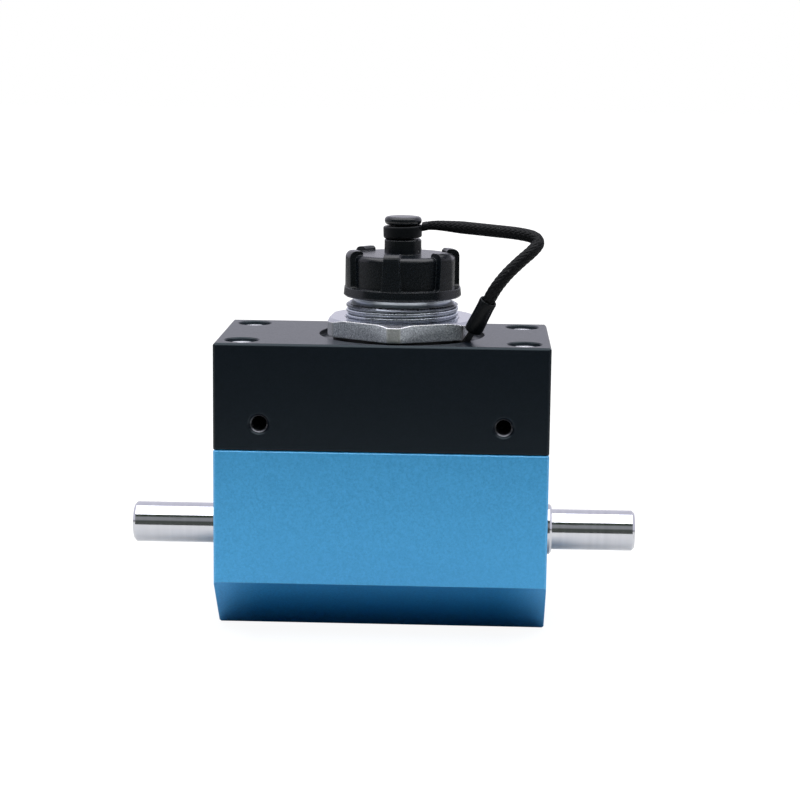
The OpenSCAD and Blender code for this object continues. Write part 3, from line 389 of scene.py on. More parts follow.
def make_handling_marks():
    """Sparse specks of dust and faint short scratches, as masks."""
    group, given, out = new_group(
        "handling_marks",
        [("Place", "NodeSocketVector", None), ("Amount", "NodeSocketFloat", 0.5)],
        [("Specks", "NodeSocketFloat"), ("Scratches", "NodeSocketFloat")],
    )
    dots = node(group, "ShaderNodeTexVoronoi", {"Vector": given.outputs["Place"], "Scale": 420.0})
    keep = noise(group, given.outputs["Place"], 170.0, 1.0)
    near = ramp(group, dots.outputs["Distance"], 0.05, 0.11, 1.0, 0.0)
    limit = math_node(group, "SUBTRACT", 0.78, times(group, given.outputs["Amount"], 0.14))
    sparse = math_node(group, "GREATER_THAN", keep, limit)
    group.links.new(times(group, near, sparse), out.inputs["Specks"])
    turned = node(group, "ShaderNodeMapping", {
        "Vector": given.outputs["Place"], "Rotation": (0.4, 0.7, 0.5), "Scale": (160.0, 2600.0, 900.0),
    })
    streak = noise(group, turned.outputs[0], 1.0, 2.0)
    patch = noise(group, given.outputs["Place"], 90.0, 1.0)
    lines = times(group, ramp(group, streak, 0.64, 0.72), ramp(group, patch, 0.52, 0.62))
    group.links.new(times(group, lines, given.outputs["Amount"]), out.inputs["Scratches"])
    return group


def make_tool_lines():
    """Fine lines that a lathe or a grinder leaves, which change along one direction only."""
    group, given, out = new_group(
        "tool_lines",
        [("Along", "NodeSocketFloat", 0.0), ("Pitch", "NodeSocketFloat", 0.1)],
        [("Height", "NodeSocketFloat"), ("Band", "NodeSocketFloat")],
    )
    pitch = times(group, given.outputs["Pitch"], MM)
    count = math_node(group, "DIVIDE", given.outputs["Along"], pitch)
    place = node(group, "ShaderNodeCombineXYZ", {"X": count}).outputs[0]
    group.links.new(noise(group, place, 1.0, 3.0, 0.6), out.inputs["Height"])
    group.links.new(ramp(group, noise(group, place, 0.06, 2.0), 0.3, 0.7), out.inputs["Band"])
    return group


def make_soft_edges():
    """The normal of an edge that is rounded a little, and a mask along that edge."""
    group, given, out = new_group(
        "soft_edges",
        [("Radius", "NodeSocketFloat", 0.15)],
        [("Normal", "NodeSocketVector"), ("Edge", "NodeSocketFloat")],
    )
    radius = times(group, given.outputs["Radius"], MM)
    rounded = node(group, "ShaderNodeBevel", {"Radius": radius}, samples=6).outputs[0]
    true_normal = node(group, "ShaderNodeNewGeometry").outputs["True Normal"]
    alike = vector_math(group, "DOT_PRODUCT", rounded, true_normal, "Value")
    group.links.new(rounded, out.inputs["Normal"])
    group.links.new(ramp(group, alike, 0.8, 0.995, 1.0, 0.0), out.inputs["Edge"])
    return group


BLASTED_GRAIN = make_blasted_grain()
HANDLING_MARKS = make_handling_marks()
TOOL_LINES = make_tool_lines()
SOFT_EDGES = make_soft_edges()


# Finishes

def blue_anodised():
    """Blue anodised metal over fine blasting, with a painted highlight along its edges."""
    material, tree = new_tree("blue_anodised_aluminium")
    place = object_place(tree)
    grain = use_group(tree, BLASTED_GRAIN, {"Place": place, "Grain": 0.42})
    edges = use_group(tree, SOFT_EDGES, {"Radius": 0.25})
    tone = mix_colour(tree, grain["Speckle"], srgb(24, 149, 210), srgb(58, 176, 234))
    tone = mix_colour(tree, ramp(tree, grain["Cloud"], 0, 1, 0.0, 0.35), tone, srgb(42, 163, 222))
    # Painted highlight along the edges
    tone = mix_colour(tree, times(tree, edges["Edge"], 0.45), tone, srgb(176, 218, 242))
    finish_surface(
        tree, Base_Color=tone, Metallic=0.8, Coat_Weight=1.0, Coat_Roughness=0.4, Coat_IOR=1.65,
        Roughness=ramp(tree, grain["Speckle"], 0, 1, 0.42, 0.52),
        Normal=bump(tree, grain["Height"], 0.03 * MM, 0.8, edges["Normal"]),
    )
    return material


def black_anodised():
    """Black anodised metal over fine blasting, with a few specks of dust."""
    material, tree = new_tree("black_anodised_aluminium")
    place = object_place(tree)
    grain = use_group(tree, BLASTED_GRAIN, {"Place": place, "Grain": 0.36})
    marks = use_group(tree, HANDLING_MARKS, {"Place": place, "Amount": 0.25})
    edges = use_group(tree, SOFT_EDGES, {"Radius": 0.3})
    uneven = ramp(tree, noise(tree, place, 1500.0, 2.0), 0.3, 0.7, 0.0, 0.4)
    tone = mix_colour(tree, grain["Speckle"], srgb(7, 12, 20), srgb(12, 17, 26))
    tone = mix_colour(tree, times(tree, marks["Specks"], 0.5), tone, srgb(110, 112, 116))
    finish_surface(
        tree, Base_Color=tone, Specular_IOR_Level=0.3, Specular_Tint=(0.72, 0.92, 1.0, 1.0),
        Roughness=ramp(tree, math_node(tree, "ADD", grain["Speckle"], uneven), 0.1, 1.3, 0.29, 0.345),
        Normal=bump(tree, grain["Height"], 0.02 * MM, 0.8, edges["Normal"]),
    )
    return material


def along_axis(tree, place, axis):
    return node(tree, "ShaderNodeSeparateXYZ", {0: place}).outputs[axis]


def radius_from(tree, place, centre):
    """Distance from an upright axis."""
    flat = vector_math(tree, "MULTIPLY", place, (1, 1, 0))
    return vector_math(tree, "DISTANCE", flat, tuple(centre), "Value")


def ground_steel():
    """Ground shaft: fine rings round it, with some scratches and specks."""
    material, tree = new_tree("ground_shaft_steel")
    place = object_place(tree)
    lines = use_group(tree, TOOL_LINES, {"Along": along_axis(tree, place, "X"), "Pitch": 0.09})
    marks = use_group(tree, HANDLING_MARKS, {"Place": place, "Amount": 0.9})
    tone = mix_colour(tree, lines["Band"], srgb(196, 197, 203), srgb(206, 207, 212))
    tone = mix_colour(tree, times(tree, marks["Scratches"], 0.6), tone, srgb(140, 138, 142))
    tone = mix_colour(tree, times(tree, marks["Specks"], 0.6), tone, srgb(110, 108, 108))
    finish_surface(
        tree, Base_Color=tone, Metallic=1.0,
        Roughness=ramp(tree, lines["Band"], 0, 1, 0.07, 0.12),
        Normal=bump(tree, lines["Height"], 0.0012 * MM, 0.5),
    )
    return material


def zinc_plate():
    """Bright plating over turned steel, with lathe lines round the connector's axis."""
    material, tree = new_tree("bright_zinc_plate")
    place = object_place(tree)
    away = radius_from(tree, place, CONNECTOR_AXIS)
    along = math_node(tree, "ADD", along_axis(tree, place, "Z"), away)
    lines = use_group(tree, TOOL_LINES, {"Along": along, "Pitch": 0.12})
    cloud = noise(tree, place, 260.0, 3.0)
    tone = mix_colour(tree, ramp(tree, cloud, 0.3, 0.7), srgb(194, 201, 212), srgb(214, 220, 228))
    finish_surface(
        tree, Base_Color=tone, Metallic=1.0,
        Roughness=ramp(tree, cloud, 0.3, 0.7, 0.3, 0.4),
        Normal=bump(tree, lines["Height"], 0.002 * MM, 0.6),
    )
    return material


def zinc_cast():
    """Panel nut: grainy sides, with a turned top and turned corners, and a painted highlight along its
    edges.
    """
    material, tree = new_tree("grainy_zinc_nut")
    place = object_place(tree)
    grain = use_group(tree, BLASTED_GRAIN, {"Place": place, "Grain": 0.3})
    edges = use_group(tree, SOFT_EDGES, {"Radius": 0.3})
    facing_up = along_axis(tree, node(tree, "ShaderNodeNewGeometry").outputs["True Normal"], "Z")
    on_top = ramp(tree, facing_up, 0.3, 0.45)
    away = radius_from(tree, place, CONNECTOR_AXIS)
    on_corner = ramp(tree, away, *(NUT_CORNER_R - fade for fade in NUT_CORNER_FADE))
    turned = math_node(tree, "MAXIMUM", on_top, times(tree, on_corner, 0.45))
    cast = math_node(tree, "SUBTRACT", 1.0, turned)
    relief = times(tree, math_node(tree, "SUBTRACT", grain["Height"], 0.5), cast)
    tone = mix_colour(tree, grain["Speckle"], srgb(154, 160, 173), srgb(244, 249, 255))
    tone = mix_colour(tree, times(tree, on_corner, 0.6), tone, srgb(208, 209, 206))
    tone = mix_colour(tree, on_top, tone, srgb(178, 180, 189))
    # Painted highlight along the edges
    tone = mix_colour(tree, edges["Edge"], tone, srgb(244, 243, 240))
    rough = ramp(tree, grain["Speckle"], 0, 1, 0.38, 0.52)
    finish_surface(
        tree, Base_Color=tone, Metallic=1.0,
        Roughness=ramp(tree, cast, 0, 1, 0.16, rough),
        Normal=bump(tree, relief, 0.07 * MM, 1.0, edges["Normal"]),
    )
    return material


def rolled_thread():
    """Plated thread with flat crests: a painted highlight on the crests' edges, painted shade in the roots
    and on the crests' flats, and painted shade on the lead at its top.
    """
    material, tree = new_tree("plated_thread")
    place = object_place(tree)
    grain = use_group(tree, BLASTED_GRAIN, {"Place": place, "Grain": 0.4})
    away = radius_from(tree, place, CONNECTOR_AXIS)
    on_panel = ramp(tree, away, PANEL_THREAD_R - THREAD_CREST_FROM, PANEL_THREAD_R - THREAD_CREST_TO)
    on_coupling = ramp(tree, away, COUPLING_R - THREAD_CREST_FROM, COUPLING_R - THREAD_CREST_TO)
    height = along_axis(tree, place, "Z")
    below = math_node(tree, "LESS_THAN", height, PANEL_TOP)
    lead_low = PANEL_TOP - PANEL_LEAD
    near_lead = ramp(tree, height, *(lead_low - reach for reach in PANEL_LEAD_SHADE_REACH))
    lead_painted_shade = times(tree, below, near_lead)
    crest = mix_colour(tree, below, on_coupling, on_panel)
    flat_painted_shade = ramp(tree, away, PANEL_THREAD_R - THREAD_FLAT_FROM, PANEL_THREAD_R - THREAD_FLAT_TO)
    # Painted highlight on the crests over painted shade in the roots
    tone = mix_colour(tree, crest, srgb(108, 114, 126), srgb(226, 232, 240))
    # Painted shade on the crests' flats, which leaves their eased edges as the painted highlight
    tone = mix_colour(tree, times(tree, flat_painted_shade, 0.7), tone, srgb(128, 134, 146))
    # Painted shade on the lead at the thread's top
    tone = mix_colour(tree, times(tree, lead_painted_shade, 0.85), tone, srgb(84, 88, 95))
    tone = mix_colour(tree, times(tree, grain["Speckle"], 0.3), tone, srgb(150, 155, 168))
    finish_surface(
        tree, Base_Color=tone, Metallic=1.0,
        Roughness=ramp(tree, grain["Speckle"], 0, 1, 0.2, 0.42),
        Normal=bump(tree, grain["Height"], 0.02 * MM, 0.8),
    )
    return material


def moulded_plastic(name, tone, rough, grain_mm, edge_mm, dust=0.5, gloss=0.4):
    """A moulded or shrunk plastic, or a rubber: fine grain, a painted highlight along the edges and a little
    dust.
    """
    material, tree = new_tree(name)
    place = object_place(tree)
    grain = use_group(tree, BLASTED_GRAIN, {"Place": place, "Grain": grain_mm})
    marks = use_group(tree, HANDLING_MARKS, {"Place": place, "Amount": dust})
    edges = use_group(tree, SOFT_EDGES, {"Radius": edge_mm})
    light = srgb(*(c + 3 for c in tone))
    painted_edge_highlight = srgb(*(c + 75 for c in tone))
    colour = mix_colour(tree, grain["Speckle"], srgb(*tone), light)
    # Painted highlight along the edges
    colour = mix_colour(tree, times(tree, edges["Edge"], 0.55), colour, painted_edge_highlight)
    colour = mix_colour(tree, times(tree, marks["Specks"], 0.6), colour, srgb(120, 121, 124))
    finish_surface(
        tree, Base_Color=colour, Specular_IOR_Level=gloss,
        Roughness=ramp(tree, grain["Speckle"], 0, 1, rough - 0.05, rough + 0.05),
        Normal=bump(tree, grain["Height"], 0.006 * MM, 0.4, edges["Normal"]),
    )
    return material


def metal(name, tone, rough, grain_mm=0.4, edge_mm=0.05):
    """A plain metal finish with a little uneven polish and eased edges."""
    material, tree = new_tree(name)
    place = object_place(tree)
    grain = use_group(tree, BLASTED_GRAIN, {"Place": place, "Grain": grain_mm})
    edges = use_group(tree, SOFT_EDGES, {"Radius": edge_mm})
    colour = mix_colour(tree, grain["Cloud"], srgb(*tone), srgb(*(min(255, c + 12) for c in tone)))
    finish_surface(
        tree, Base_Color=colour, Metallic=1.0,
        Roughness=ramp(tree, grain["Speckle"], 0, 1, rough * 0.85, rough * 1.15),
        Normal=bump(tree, grain["Height"], 0.004 * MM, 0.4, edges["Normal"]),
    )
    return material


def copper_winding():
    """Enamelled wire, wound in turns along the shaft."""
    material, tree = new_tree("enamelled_copper_winding")
    place = object_place(tree)
    wave = node(tree, "ShaderNodeTexWave", {
        "Vector": place, "Scale": 700.0, "Distortion": 0.6,
    }, bands_direction="X")
    turns = wave.outputs["Fac"]
    tone = mix_colour(tree, turns, srgb(120, 62, 28), srgb(205, 122, 66))
    finish_surface(
        tree, Base_Color=tone, Metallic=0.7,
        Roughness=ramp(tree, turns, 0, 1, 0.45, 0.3),
        Normal=bump(tree, turns, 0.1 * MM),
    )
    return material


def circuit_board():
    """Green lacquer with paler tracks under it."""
    material, tree = new_tree("circuit_board_lacquer")
    place = object_place(tree)
    tracks = node(tree, "ShaderNodeTexBrick", {
        "Vector": place, "Scale": 260.0, "Mortar Size": 0.03,
        "Color1": srgb(20, 92, 52), "Color2": srgb(16, 80, 45), "Mortar": srgb(64, 140, 80),
    })
    finish_surface(
        tree, Base_Color=tracks.outputs["Color"],
        Roughness=ramp(tree, tracks.outputs["Fac"], 0, 1, 0.35, 0.5),
        Normal=bump(tree, tracks.outputs["Fac"], 0.02 * MM),
    )
    return material


def black_braid():
    """Waxed yarn: fine filaments along each strand, a little dust and a soft sheen."""
    material, tree = new_tree("waxed_black_braid")
    uv = node(tree, "ShaderNodeUVMap", uv_map="yarn").outputs[0]
    place = object_place(tree)
    stretched = node(tree, "ShaderNodeMapping", {"Vector": uv, "Scale": (60.0, 9.0, 1.0)}).outputs[0]
    filaments = noise(tree, stretched, 1.0, 3.0, 0.6)
    marks = use_group(tree, HANDLING_MARKS, {"Place": place, "Amount": 1.3})
    tone = mix_colour(tree, ramp(tree, filaments, 0.35, 0.65), srgb(2, 3, 5), srgb(13, 15, 18))
    tone = mix_colour(tree, times(tree, marks["Specks"], 0.5), tone, srgb(120, 120, 122))
    finish_surface(
        tree, Base_Color=tone, Roughness=ramp(tree, filaments, 0.3, 0.7, 0.4, 0.6),
        Specular_IOR_Level=0.13, Sheen_Weight=0.01, Sheen_Roughness=0.4,
        Normal=bump(tree, filaments, 0.03 * MM, 0.7),
    )
    return material


FINISHES = {
    "blue_anodised": blue_anodised(),
    "black_anodised": black_anodised(),
    "ground_steel": ground_steel(),
    "bearing_steel": metal("polished_bearing_steel", (200, 200, 204), 0.12),
    "shield_steel": metal("pressed_shield_steel", (170, 170, 174), 0.28),
    "black_steel": metal("black_oxide_steel", (62, 62, 66), 0.34),
    "screw_steel": metal("bright_screw_steel", (226, 227, 232), 0.5, edge_mm=0.4),
    "zinc_plate": zinc_plate(),
    "zinc_cast": zinc_cast(),
    "black_plastic": moulded_plastic("black_cap_plastic", (5, 10, 16), 0.26, 0.3, 0.18),
    "heat_shrink": moulded_plastic("black_shrink_tube", (4, 7, 11), 0.4, 0.5, 0.15, dust=0.4, gloss=0.16),
    "black_rubber": moulded_plastic("black_rubber", (18, 18, 19), 0.6, 0.3, 0.1, dust=0.1),
    "seal_rubber": moulded_plastic("red_seal_rubber", (110, 36, 28), 0.55, 0.3, 0.1, dust=0.1),
    "lead_insulation": moulded_plastic("red_lead_insulation", (180, 36, 30), 0.35, 0.3, 0.05, dust=0.1),
    "black_braid": black_braid(),
    "copper_winding": copper_winding(),
    "circuit_board": circuit_board(),
    "contact_gold": metal("contact_gold", (226, 186, 110), 0.2),
    "brass": metal("turned_brass", (206, 172, 98), 0.28),
    "gauge_foil": metal("gauge_foil", (196, 140, 72), 0.35),
}
THREAD_FINISH = rolled_thread()
CUT_ALUMINIUM = metal("cut_aluminium", (92, 94, 99), 0.34)
# The eyelet's tab has a plain dark grey tone.
OWN_FINISHES = {"tether_eyelet": metal("dark_eyelet_tab", (78, 77, 76), 0.42, grain_mm=0.3, edge_mm=0.1)}


def dress_frame():
    """Gives each solid of the frame its own finish, or else the finish of its slot."""
    for part in frame["record"]["subparts"]:
        solid = frame["nodes"][part["node"]]
        solid.data.materials.clear()
        solid.data.materials.append(OWN_FINISHES.get(part["node"], FINISHES[part["material_slot"]]))


# Connector

def turn_down(bm, cone_low, cone_high, sunk=0.05 * MM):
    """Turns a thread down on its lead cone, which runs from cone_low to cone_high, both (radius, height)."""
    slope = (cone_high[0] - cone_low[0]) / (cone_high[1] - cone_low[1])
    for vert in bm.verts:
        r = math.hypot(vert.co.x, vert.co.y)
        vert.co.z = min(vert.co.z, cone_high[1] - sunk)
        limit = cone_low[0] + (vert.co.z - cone_low[1]) * slope
        if r > limit:
            vert.co.x *= (limit - sunk) / r
            vert.co.y *= (limit - sunk) / r


def connector_shell():
    """The turned shell with its two threads, one under the nut and one under the cap."""
    panel_root = PANEL_THREAD_R - THREAD_DEPTH
    coupling_root = COUPLING_R - THREAD_DEPTH
    flange_r = (shell_high.x - shell_low.x) / 2
    lead_share = (panel_root - PANEL_END_R) / (PANEL_THREAD_R - PANEL_END_R)
    mouth = shell_high.z
    coupling_low = NECK_TOP + NECK_SLOPE
    roof = shell_low.z + FLANGE_H
    outline = [
        (SHELL_REAR_R, shell_low.z),
        (flange_r, shell_low.z),
        (flange_r, roof),
        (panel_root, roof),
        (panel_root, PANEL_TOP - PANEL_LEAD * lead_share),
        (PANEL_END_R, PANEL_TOP),
        (NECK_R, PANEL_TOP),
        (NECK_R, NECK_TOP - NECK_FLARE_H),
        (NECK_R + NECK_FLARE, NECK_TOP),
        (coupling_root, coupling_low),
        (coupling_root, mouth),
        (SOCKET_R, mouth),
        (SOCKET_R, shell_low.z + SHELL_STEP),
        (SHELL_REAR_R, shell_low.z + SHELL_STEP),
    ]
    bm = bmesh.new()
    spin_outline(bm, outline, SHELL_SIDES)
    bmesh.ops.translate(bm, verts=bm.verts, vec=CONNECTOR_AXIS)
    shell = piece_from(bm, "connector_shell_turned", "housing", FINISHES["zinc_plate"])
    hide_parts("connector_shell")

    bm = bmesh.new()
    panel_low = nut_low.z - PANEL_PITCH
    thread_ridge(bm, panel_root, PANEL_THREAD_R, PANEL_PITCH, panel_low, PANEL_TOP - PANEL_RUN_OUT)
    turn_down(bm, (PANEL_THREAD_R, PANEL_TOP - PANEL_LEAD), (PANEL_END_R, PANEL_TOP))
    bmesh.ops.translate(bm, verts=bm.verts, vec=CONNECTOR_AXIS)
    piece_from(bm, "panel_thread", "housing", THREAD_FINISH)

    bm = bmesh.new()
    ridge_low = coupling_low + COUPLING_PITCH / 2
    thread_ridge(bm, coupling_root, COUPLING_R, COUPLING_PITCH, ridge_low, mouth - COUPLING_RUN_OUT)
    turn_down(bm, (COUPLING_R, mouth - COUPLING_LEAD), (coupling_root, mouth))
    bmesh.ops.translate(bm, verts=bm.verts, vec=CONNECTOR_AXIS)
    piece_from(bm, "coupling_thread", "housing", THREAD_FINISH)


def fixing_threads():
    """The cut threads in the two front fixing holes."""
    bm = bmesh.new()
    for side in (-1, 1):
        bore = bmesh.new()
        crest_r = FIXING_R - FIXING_RIDGE
        thread_ridge(bore, FIXING_R, crest_r, FIXING_PITCH, FIXING_START, FIXING_DEPTH, FIXING_STEPS)
        turn = Matrix.Rotation(math.radians(-90), 4, "X")
        shift = Matrix.Translation((side * FIXING_X, cover_low.y, FIXING_Z))
        bmesh.ops.transform(bore, matrix=shift @ turn, verts=bore.verts)
        held = bpy.data.meshes.new("bore")
        bore.to_mesh(held)
        bore.free()
        bm.from_mesh(held)
        bpy.data.meshes.remove(held)
    piece_from(bm, "front_fixing_threads", "housing", CUT_ALUMINIUM)


# Tether

def route_points(points, end_way):
    """A smooth line through the route's points. It leaves the last one along end_way."""
    points = [Vector(p) * MM for p in points]
    before = 2 * points[0] - points[1]
    after = points[-1] + (points[-1] - points[-2]).length * end_way
    held = [before, *points, after]
    line = []
    for p0, p1, p2, p3 in zip(held, held[1:], held[2:], held[3:]):
        for step in range(ROUTE_STEPS):
            t = step / ROUTE_STEPS
            line.append(p1 + (
                (p2 - p0) * t
                + (2 * p0 - 5 * p1 + 4 * p2 - p3) * t ** 2
                + (3 * p1 - p0 - 3 * p2 + p3) * t ** 3
            ) / 2)
    line.append(points[-1])
    return line


def even_frames(line, spacing):
    """Points at even spacing along a line, each with its direction and two sides that don't twist."""
    lengths = [0.0]
    for a, b in zip(line, line[1:]):
        lengths.append(lengths[-1] + (b - a).length)
    count = max(2, round(lengths[-1] / spacing))
    places, k = [], 0
    for i in range(count + 1):
        target = lengths[-1] * i / count
        while k < len(lengths) - 2 and lengths[k + 1] < target:
            k += 1
        share = (target - lengths[k]) / max(1e-12, lengths[k + 1] - lengths[k])
        places.append(line[k].lerp(line[k + 1], share))
    frames, side = [], Vector((0, 1, 0))
    for i, place in enumerate(places):
        way = (places[min(i + 1, count)] - places[max(i - 1, 0)]).normalized()
        side = (side - side.dot(way) * way).normalized()
        frames.append((place, way, side, way.cross(side)))
    return frames, lengths[-1]


def strand(bm, frames, section_at):
    """One yarn of the braid: a grid rolled into a flat tube about its own wavy line."""
    made = bmesh.ops.create_grid(
        bm, x_segments=len(frames) - 1, y_segments=BRAID_YARN_SIDES, size=0.5, calc_uvs=True,
    )
    for vert in made["verts"]:
        i = round((vert.co.x + 0.5) * (len(frames) - 1))
        around = 2 * math.pi * (vert.co.y + 0.5)
        place, out, across = section_at(i)
        vert.co = place + math.cos(around) * out + math.sin(around) * across


def tether_braid():
    """The cord between the cap's ring and the sleeve, as twenty-four yarns over a core."""
    line = route_points(CORD_ROUTE_MM, -SLEEVE_AXIS)
    crossing = BRAID_LEAD / (2 * BRAID_STRANDS)
    spacing = crossing / BRAID_STEPS_PER_CROSSING
    frames, length = even_frames(line, spacing)
    bm = bmesh.new()
    bm.loops.layers.uv.new("yarn")

    def fullness(i):
        return CORD_START_D / CORD_D + (1 - CORD_START_D / CORD_D) * min(1.0, i * spacing / CORD_TAPER)

    def middle_at(i):
        return fullness(i) * CORD_D / 2 - BRAID_WAVE - BRAID_YARN_HALF_THICK

    for hand in (1, -1):
        for k in range(BRAID_STRANDS):
            def centre_of(i, hand=hand, k=k):
                place, way, side, other = frames[i]
                s = i * spacing
                turn = 2 * math.pi * (k / BRAID_STRANDS + hand * s / BRAID_LEAD)
                row = s / crossing
                weave = hand * math.cos(math.pi / 2 * (2 * k + hand * row - 0.5))
                out = math.cos(turn) * side + math.sin(turn) * other
                round_way = math.cos(turn) * other - math.sin(turn) * side
                r = middle_at(i) + BRAID_WAVE * weave
                lean = math.atan2(2 * math.pi * middle_at(i) * hand, BRAID_LEAD)
                across = math.cos(lean) * round_way - math.sin(lean) * way
                half_width = BRAID_YARN_HALF_WIDTH * fullness(i)
                return place + r * out, BRAID_YARN_HALF_THICK * out, half_width * across
            strand(bm, frames, centre_of)

    def core_at(i):
        place, _, side, other = frames[i]
        return place, middle_at(i) * side, middle_at(i) * other
    strand(bm, frames, core_at)

    cord = piece_from(bm, "tether_braid", None, FINISHES["black_braid"], BRAID_CREASE)
    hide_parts("tether_cord")
    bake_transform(cord)


def tether_sleeve():
    """Shrunk tube: a thin wall with a rolled lip over the cord, pressed flat round the tab at its foot."""
    bore = SLEEVE_R - SLEEVE_WALL
    outline = [
        (0.2 * MM, 0.0),
        (SLEEVE_R - 0.25 * MM, 0.0),
        (SLEEVE_R - 0.05 * MM, 0.2 * MM),
        (SLEEVE_R, 0.8 * MM),
        (SLEEVE_R - 0.06 * MM, 3.2 * MM),
        (SLEEVE_R - 0.1 * MM, 5.6 * MM),
        (SLEEVE_R - 0.04 * MM, SLEEVE_LENGTH - 0.35 * MM),
        (SLEEVE_R - 0.12 * MM, SLEEVE_LENGTH - 0.06 * MM),
        (SLEEVE_R - 0.3 * MM, SLEEVE_LENGTH),
        (bore, SLEEVE_LENGTH - 0.12 * MM),
        (CORD_D / 2 - 0.05 * MM, SLEEVE_LENGTH - 1.2 * MM),
        (0.2 * MM, SLEEVE_LENGTH - 1.3 * MM),
    ]
    bm = bmesh.new()
    spin_outline(bm, outline, SLEEVE_SIDES)
    for vert in bm.verts:
        press = max(0.0, 1 - vert.co.z / SLEEVE_LENGTH)
        vert.co.x *= (1 - press) * SLEEVE_HEAD_SCALE[0] + press * SLEEVE_FOOT_SCALE[0]
        vert.co.y *= (1 - press) * SLEEVE_HEAD_SCALE[1] + press * SLEEVE_FOOT_SCALE[1]
    lean = Vector((0, 0, 1)).rotation_difference(SLEEVE_AXIS).to_matrix().to_4x4()
    facing = Matrix.Rotation(math.atan2(SLEEVE_AXIS.y, SLEEVE_AXIS.x), 4, "Z")
    bmesh.ops.transform(bm, matrix=Matrix.Translation(SLEEVE_FOOT) @ lean @ facing, verts=bm.verts)
    sleeve = piece_from(bm, "tether_sleeve_shrunk", "housing", FINISHES["heat_shrink"])
    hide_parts("tether_sleeve")


# Studio

def make_camera():
    data = bpy.data.cameras.new("camera")
    data.lens = CAMERA_LENS
    data.sensor_width = CAMERA_SENSOR
    data.clip_start = 0.01
    camera = bpy.data.objects.new("camera", data)
    bpy.context.scene.collection.objects.link(camera)
    ahead = Vector(CAMERA_AHEAD).normalized()
    right = ahead.cross(Vector((0, 0, 1))).normalized()
    up = right.cross(ahead)
    rolled_right = math.cos(CAMERA_ROLL) * right + math.sin(CAMERA_ROLL) * up
    rolled_up = rolled_right.cross(ahead)
    turn = Matrix((rolled_right, rolled_up, -ahead)).transposed()
    camera.matrix_world = Matrix.Translation(CAMERA_PLACE) @ turn.to_4x4()
    bpy.context.scene.camera = camera


def make_softbox():
    """One wide lamp over the object, which points straight down."""
    data = bpy.data.lights.new("overhead_softbox", "AREA")
    data.shape = "RECTANGLE"
    data.size = SOFTBOX_WIDTH
    data.size_y = SOFTBOX_BACK - SOFTBOX_FRONT
    data.energy = SOFTBOX_WATTS
    lamp = bpy.data.objects.new("overhead_softbox", data)
    bpy.context.scene.collection.objects.link(lamp)
    lamp.location = (0, (SOFTBOX_FRONT + SOFTBOX_BACK) / 2, SOFTBOX_HEIGHT)
    lamp.rotation_mode = "QUATERNION"
    lamp.rotation_quaternion = Vector((0, 0, -1)).to_track_quat("-Z", "Y")


def make_world():
    """Even fill light, with a white backdrop for the camera and a slightly dimmer one in reflections."""
    world = bpy.data.worlds.new("studio")
    bpy.context.scene.world = world
    world.use_nodes = True
    tree = world.node_tree
    tree.nodes.clear()
    path = node(tree, "ShaderNodeLightPath").outputs
    shown = math_node(tree, "MAXIMUM", path["Is Camera Ray"], path["Is Transmission Ray"])
    fill = node(tree, "ShaderNodeBackground", {"Color": WHITE, "Strength": FILL_LEVEL})
    mirrored = node(tree, "ShaderNodeBackground", {"Color": BACKDROP_IN_GLOSS})
    white = node(tree, "ShaderNodeBackground", {"Color": WHITE, "Strength": BACKDROP_WHITE})
    lit = node(tree, "ShaderNodeMixShader", {
        0: path["Is Glossy Ray"], 1: fill.outputs[0], 2: mirrored.outputs[0],
    })
    both = node(tree, "ShaderNodeMixShader", {0: shown, 1: lit.outputs[0], 2: white.outputs[0]})
    node(tree, "ShaderNodeOutputWorld", {"Surface": both.outputs[0]})


def stage_piece(name, corners, material):
    """A flat sheet of the studio through four corners."""
    bm = bmesh.new()
    bm.faces.new([bm.verts.new(c) for c in corners])
    mesh = bpy.data.meshes.new(name)
    bm.to_mesh(mesh)
    bm.free()
    mesh.materials.append(material)
    sheet = bpy.data.objects.new(name, mesh)
    bpy.context.scene.collection.objects.link(sheet)
    return sheet


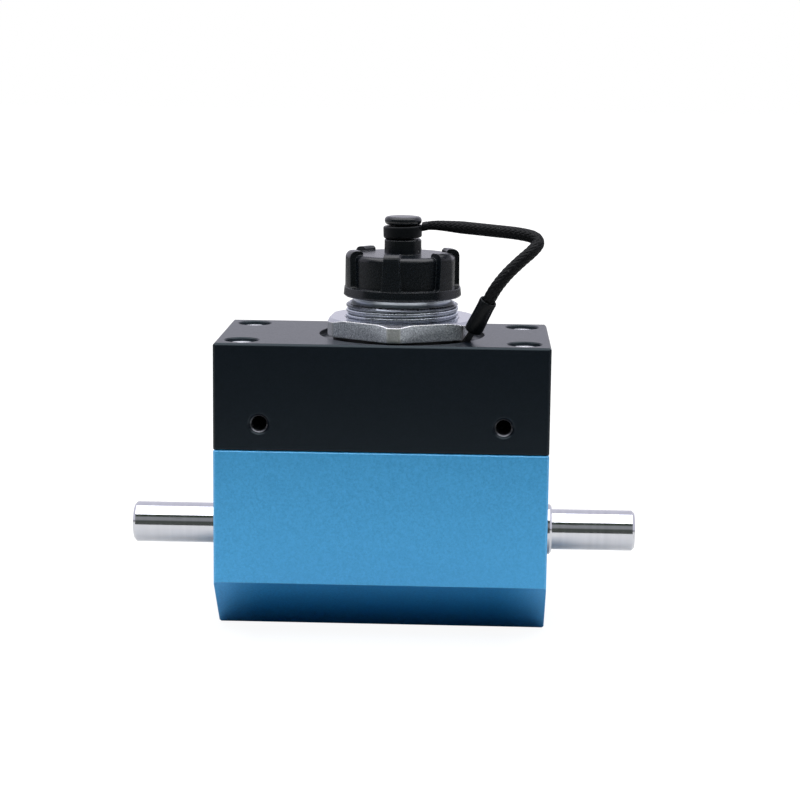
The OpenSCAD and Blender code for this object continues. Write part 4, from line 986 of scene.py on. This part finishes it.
def floor_finish():
    """A pale floor that the camera sees as white, with part of the shade that falls near the object."""
    material, tree = new_tree("studio_floor")
    path = node(tree, "ShaderNodeLightPath").outputs
    place = object_place(tree)
    away = vector_math(tree, "LENGTH", place, output="Value")
    near_x = ramp(tree, math_node(tree, "ABSOLUTE", along_axis(tree, place, "X")), *FLOOR_FOOT_X, 1.0, 0.0)
    near_y = ramp(tree, math_node(tree, "ABSOLUTE", along_axis(tree, place, "Y")), *FLOOR_FOOT_Y, 1.0, 0.0)
    flat = vector_math(tree, "MULTIPLY", place, FLOOR_AFAR_STRETCH)
    aside = vector_math(tree, "LENGTH", flat, output="Value")
    tone = mix_colour(tree, ramp(tree, aside, *FLOOR_AFAR), FLOOR_TONE, FLOOR_TONE_AFAR)
    # Painted shade, tinted blue as bounced light, on the floor under the foot
    tone = mix_colour(tree, times(tree, near_x, near_y), tone, FLOOR_PAINTED_SHADE_AT_FOOT)
    shade_share = ramp(tree, away, FLOOR_SHADOW_REACH, FLOOR_SHADOW_FADE, FLOOR_SHADOW_SHARE, 0.0)
    shaded = node(tree, "ShaderNodeBsdfDiffuse", {"Color": tone})
    white = node(tree, "ShaderNodeEmission", {"Color": WHITE, "Strength": FLOOR_WHITE})
    share = times(tree, path["Is Camera Ray"], math_node(tree, "SUBTRACT", 1.0, shade_share))
    both = node(tree, "ShaderNodeMixShader", {0: share, 1: shaded.outputs[0], 2: white.outputs[0]})
    node(tree, "ShaderNodeOutputMaterial", {"Surface": both.outputs[0]})
    return material


def dark_room_finish():
    """The unlit room that the metal mirrors, with a paler band where a lamp lights its wall."""
    material, tree = new_tree("dark_room")
    share = ramp(tree, along_axis(tree, object_place(tree), "Z"), 0, DARK_ROOM_HEIGHT)
    lamp_lit = times(tree, ramp(tree, share, *LAMP_LIT_FROM), ramp(tree, share, *LAMP_LIT_TO, 1.0, 0.0))
    tone = mix_colour(tree, share, DARK_ROOM_LOW_TONE, DARK_ROOM_HIGH_TONE)
    tone = mix_colour(tree, lamp_lit, tone, LAMP_LIT_TONE)
    glow = node(tree, "ShaderNodeEmission", {"Color": tone, "Strength": 1.0})
    node(tree, "ShaderNodeOutputMaterial", {"Surface": glow.outputs[0]})
    return material


def make_studio():
    """The floor, and the sheets of the dark room, which only reflections show."""
    f = FLOOR_HALF
    low = -FLOOR_DROP
    stage_piece("studio_floor", [(-f, -f, low), (f, -f, low), (f, f, low), (-f, f, low)], floor_finish())
    d = DARK_ROOM_HALF
    near = DARK_ROOM_NEAR
    far = DARK_ROOM_FAR
    rise = DARK_ROOM_RISE
    top = DARK_ROOM_HEIGHT
    side_top = DARK_ROOM_SIDE_HEIGHT
    sheets = {
        "dark_room_floor": [(-d, far, rise), (d, far, rise), (d, near, rise), (-d, near, rise)],
        "dark_room_wall": [(-d, far, 0), (d, far, 0), (d, far, top), (-d, far, top)],
    }
    for name, x in (("dark_room_left", -DARK_ROOM_SIDE), ("dark_room_right", DARK_ROOM_SIDE)):
        sheets[name] = [(x, far, 0), (x, near, 0), (x, near, side_top), (x, far, side_top)]
    dark = dark_room_finish()
    for name, corners in sheets.items():
        sheet = stage_piece(name, corners, dark)
        sheet.visible_camera = False
        sheet.visible_shadow = False
        sheet.visible_transmission = False


make_camera()
tether_braid()
tether_sleeve()
connector_shell()
fixing_threads()
dress_frame()
make_softbox()
make_world()
make_studio()

bpy.context.scene.view_settings.view_transform = "Standard"
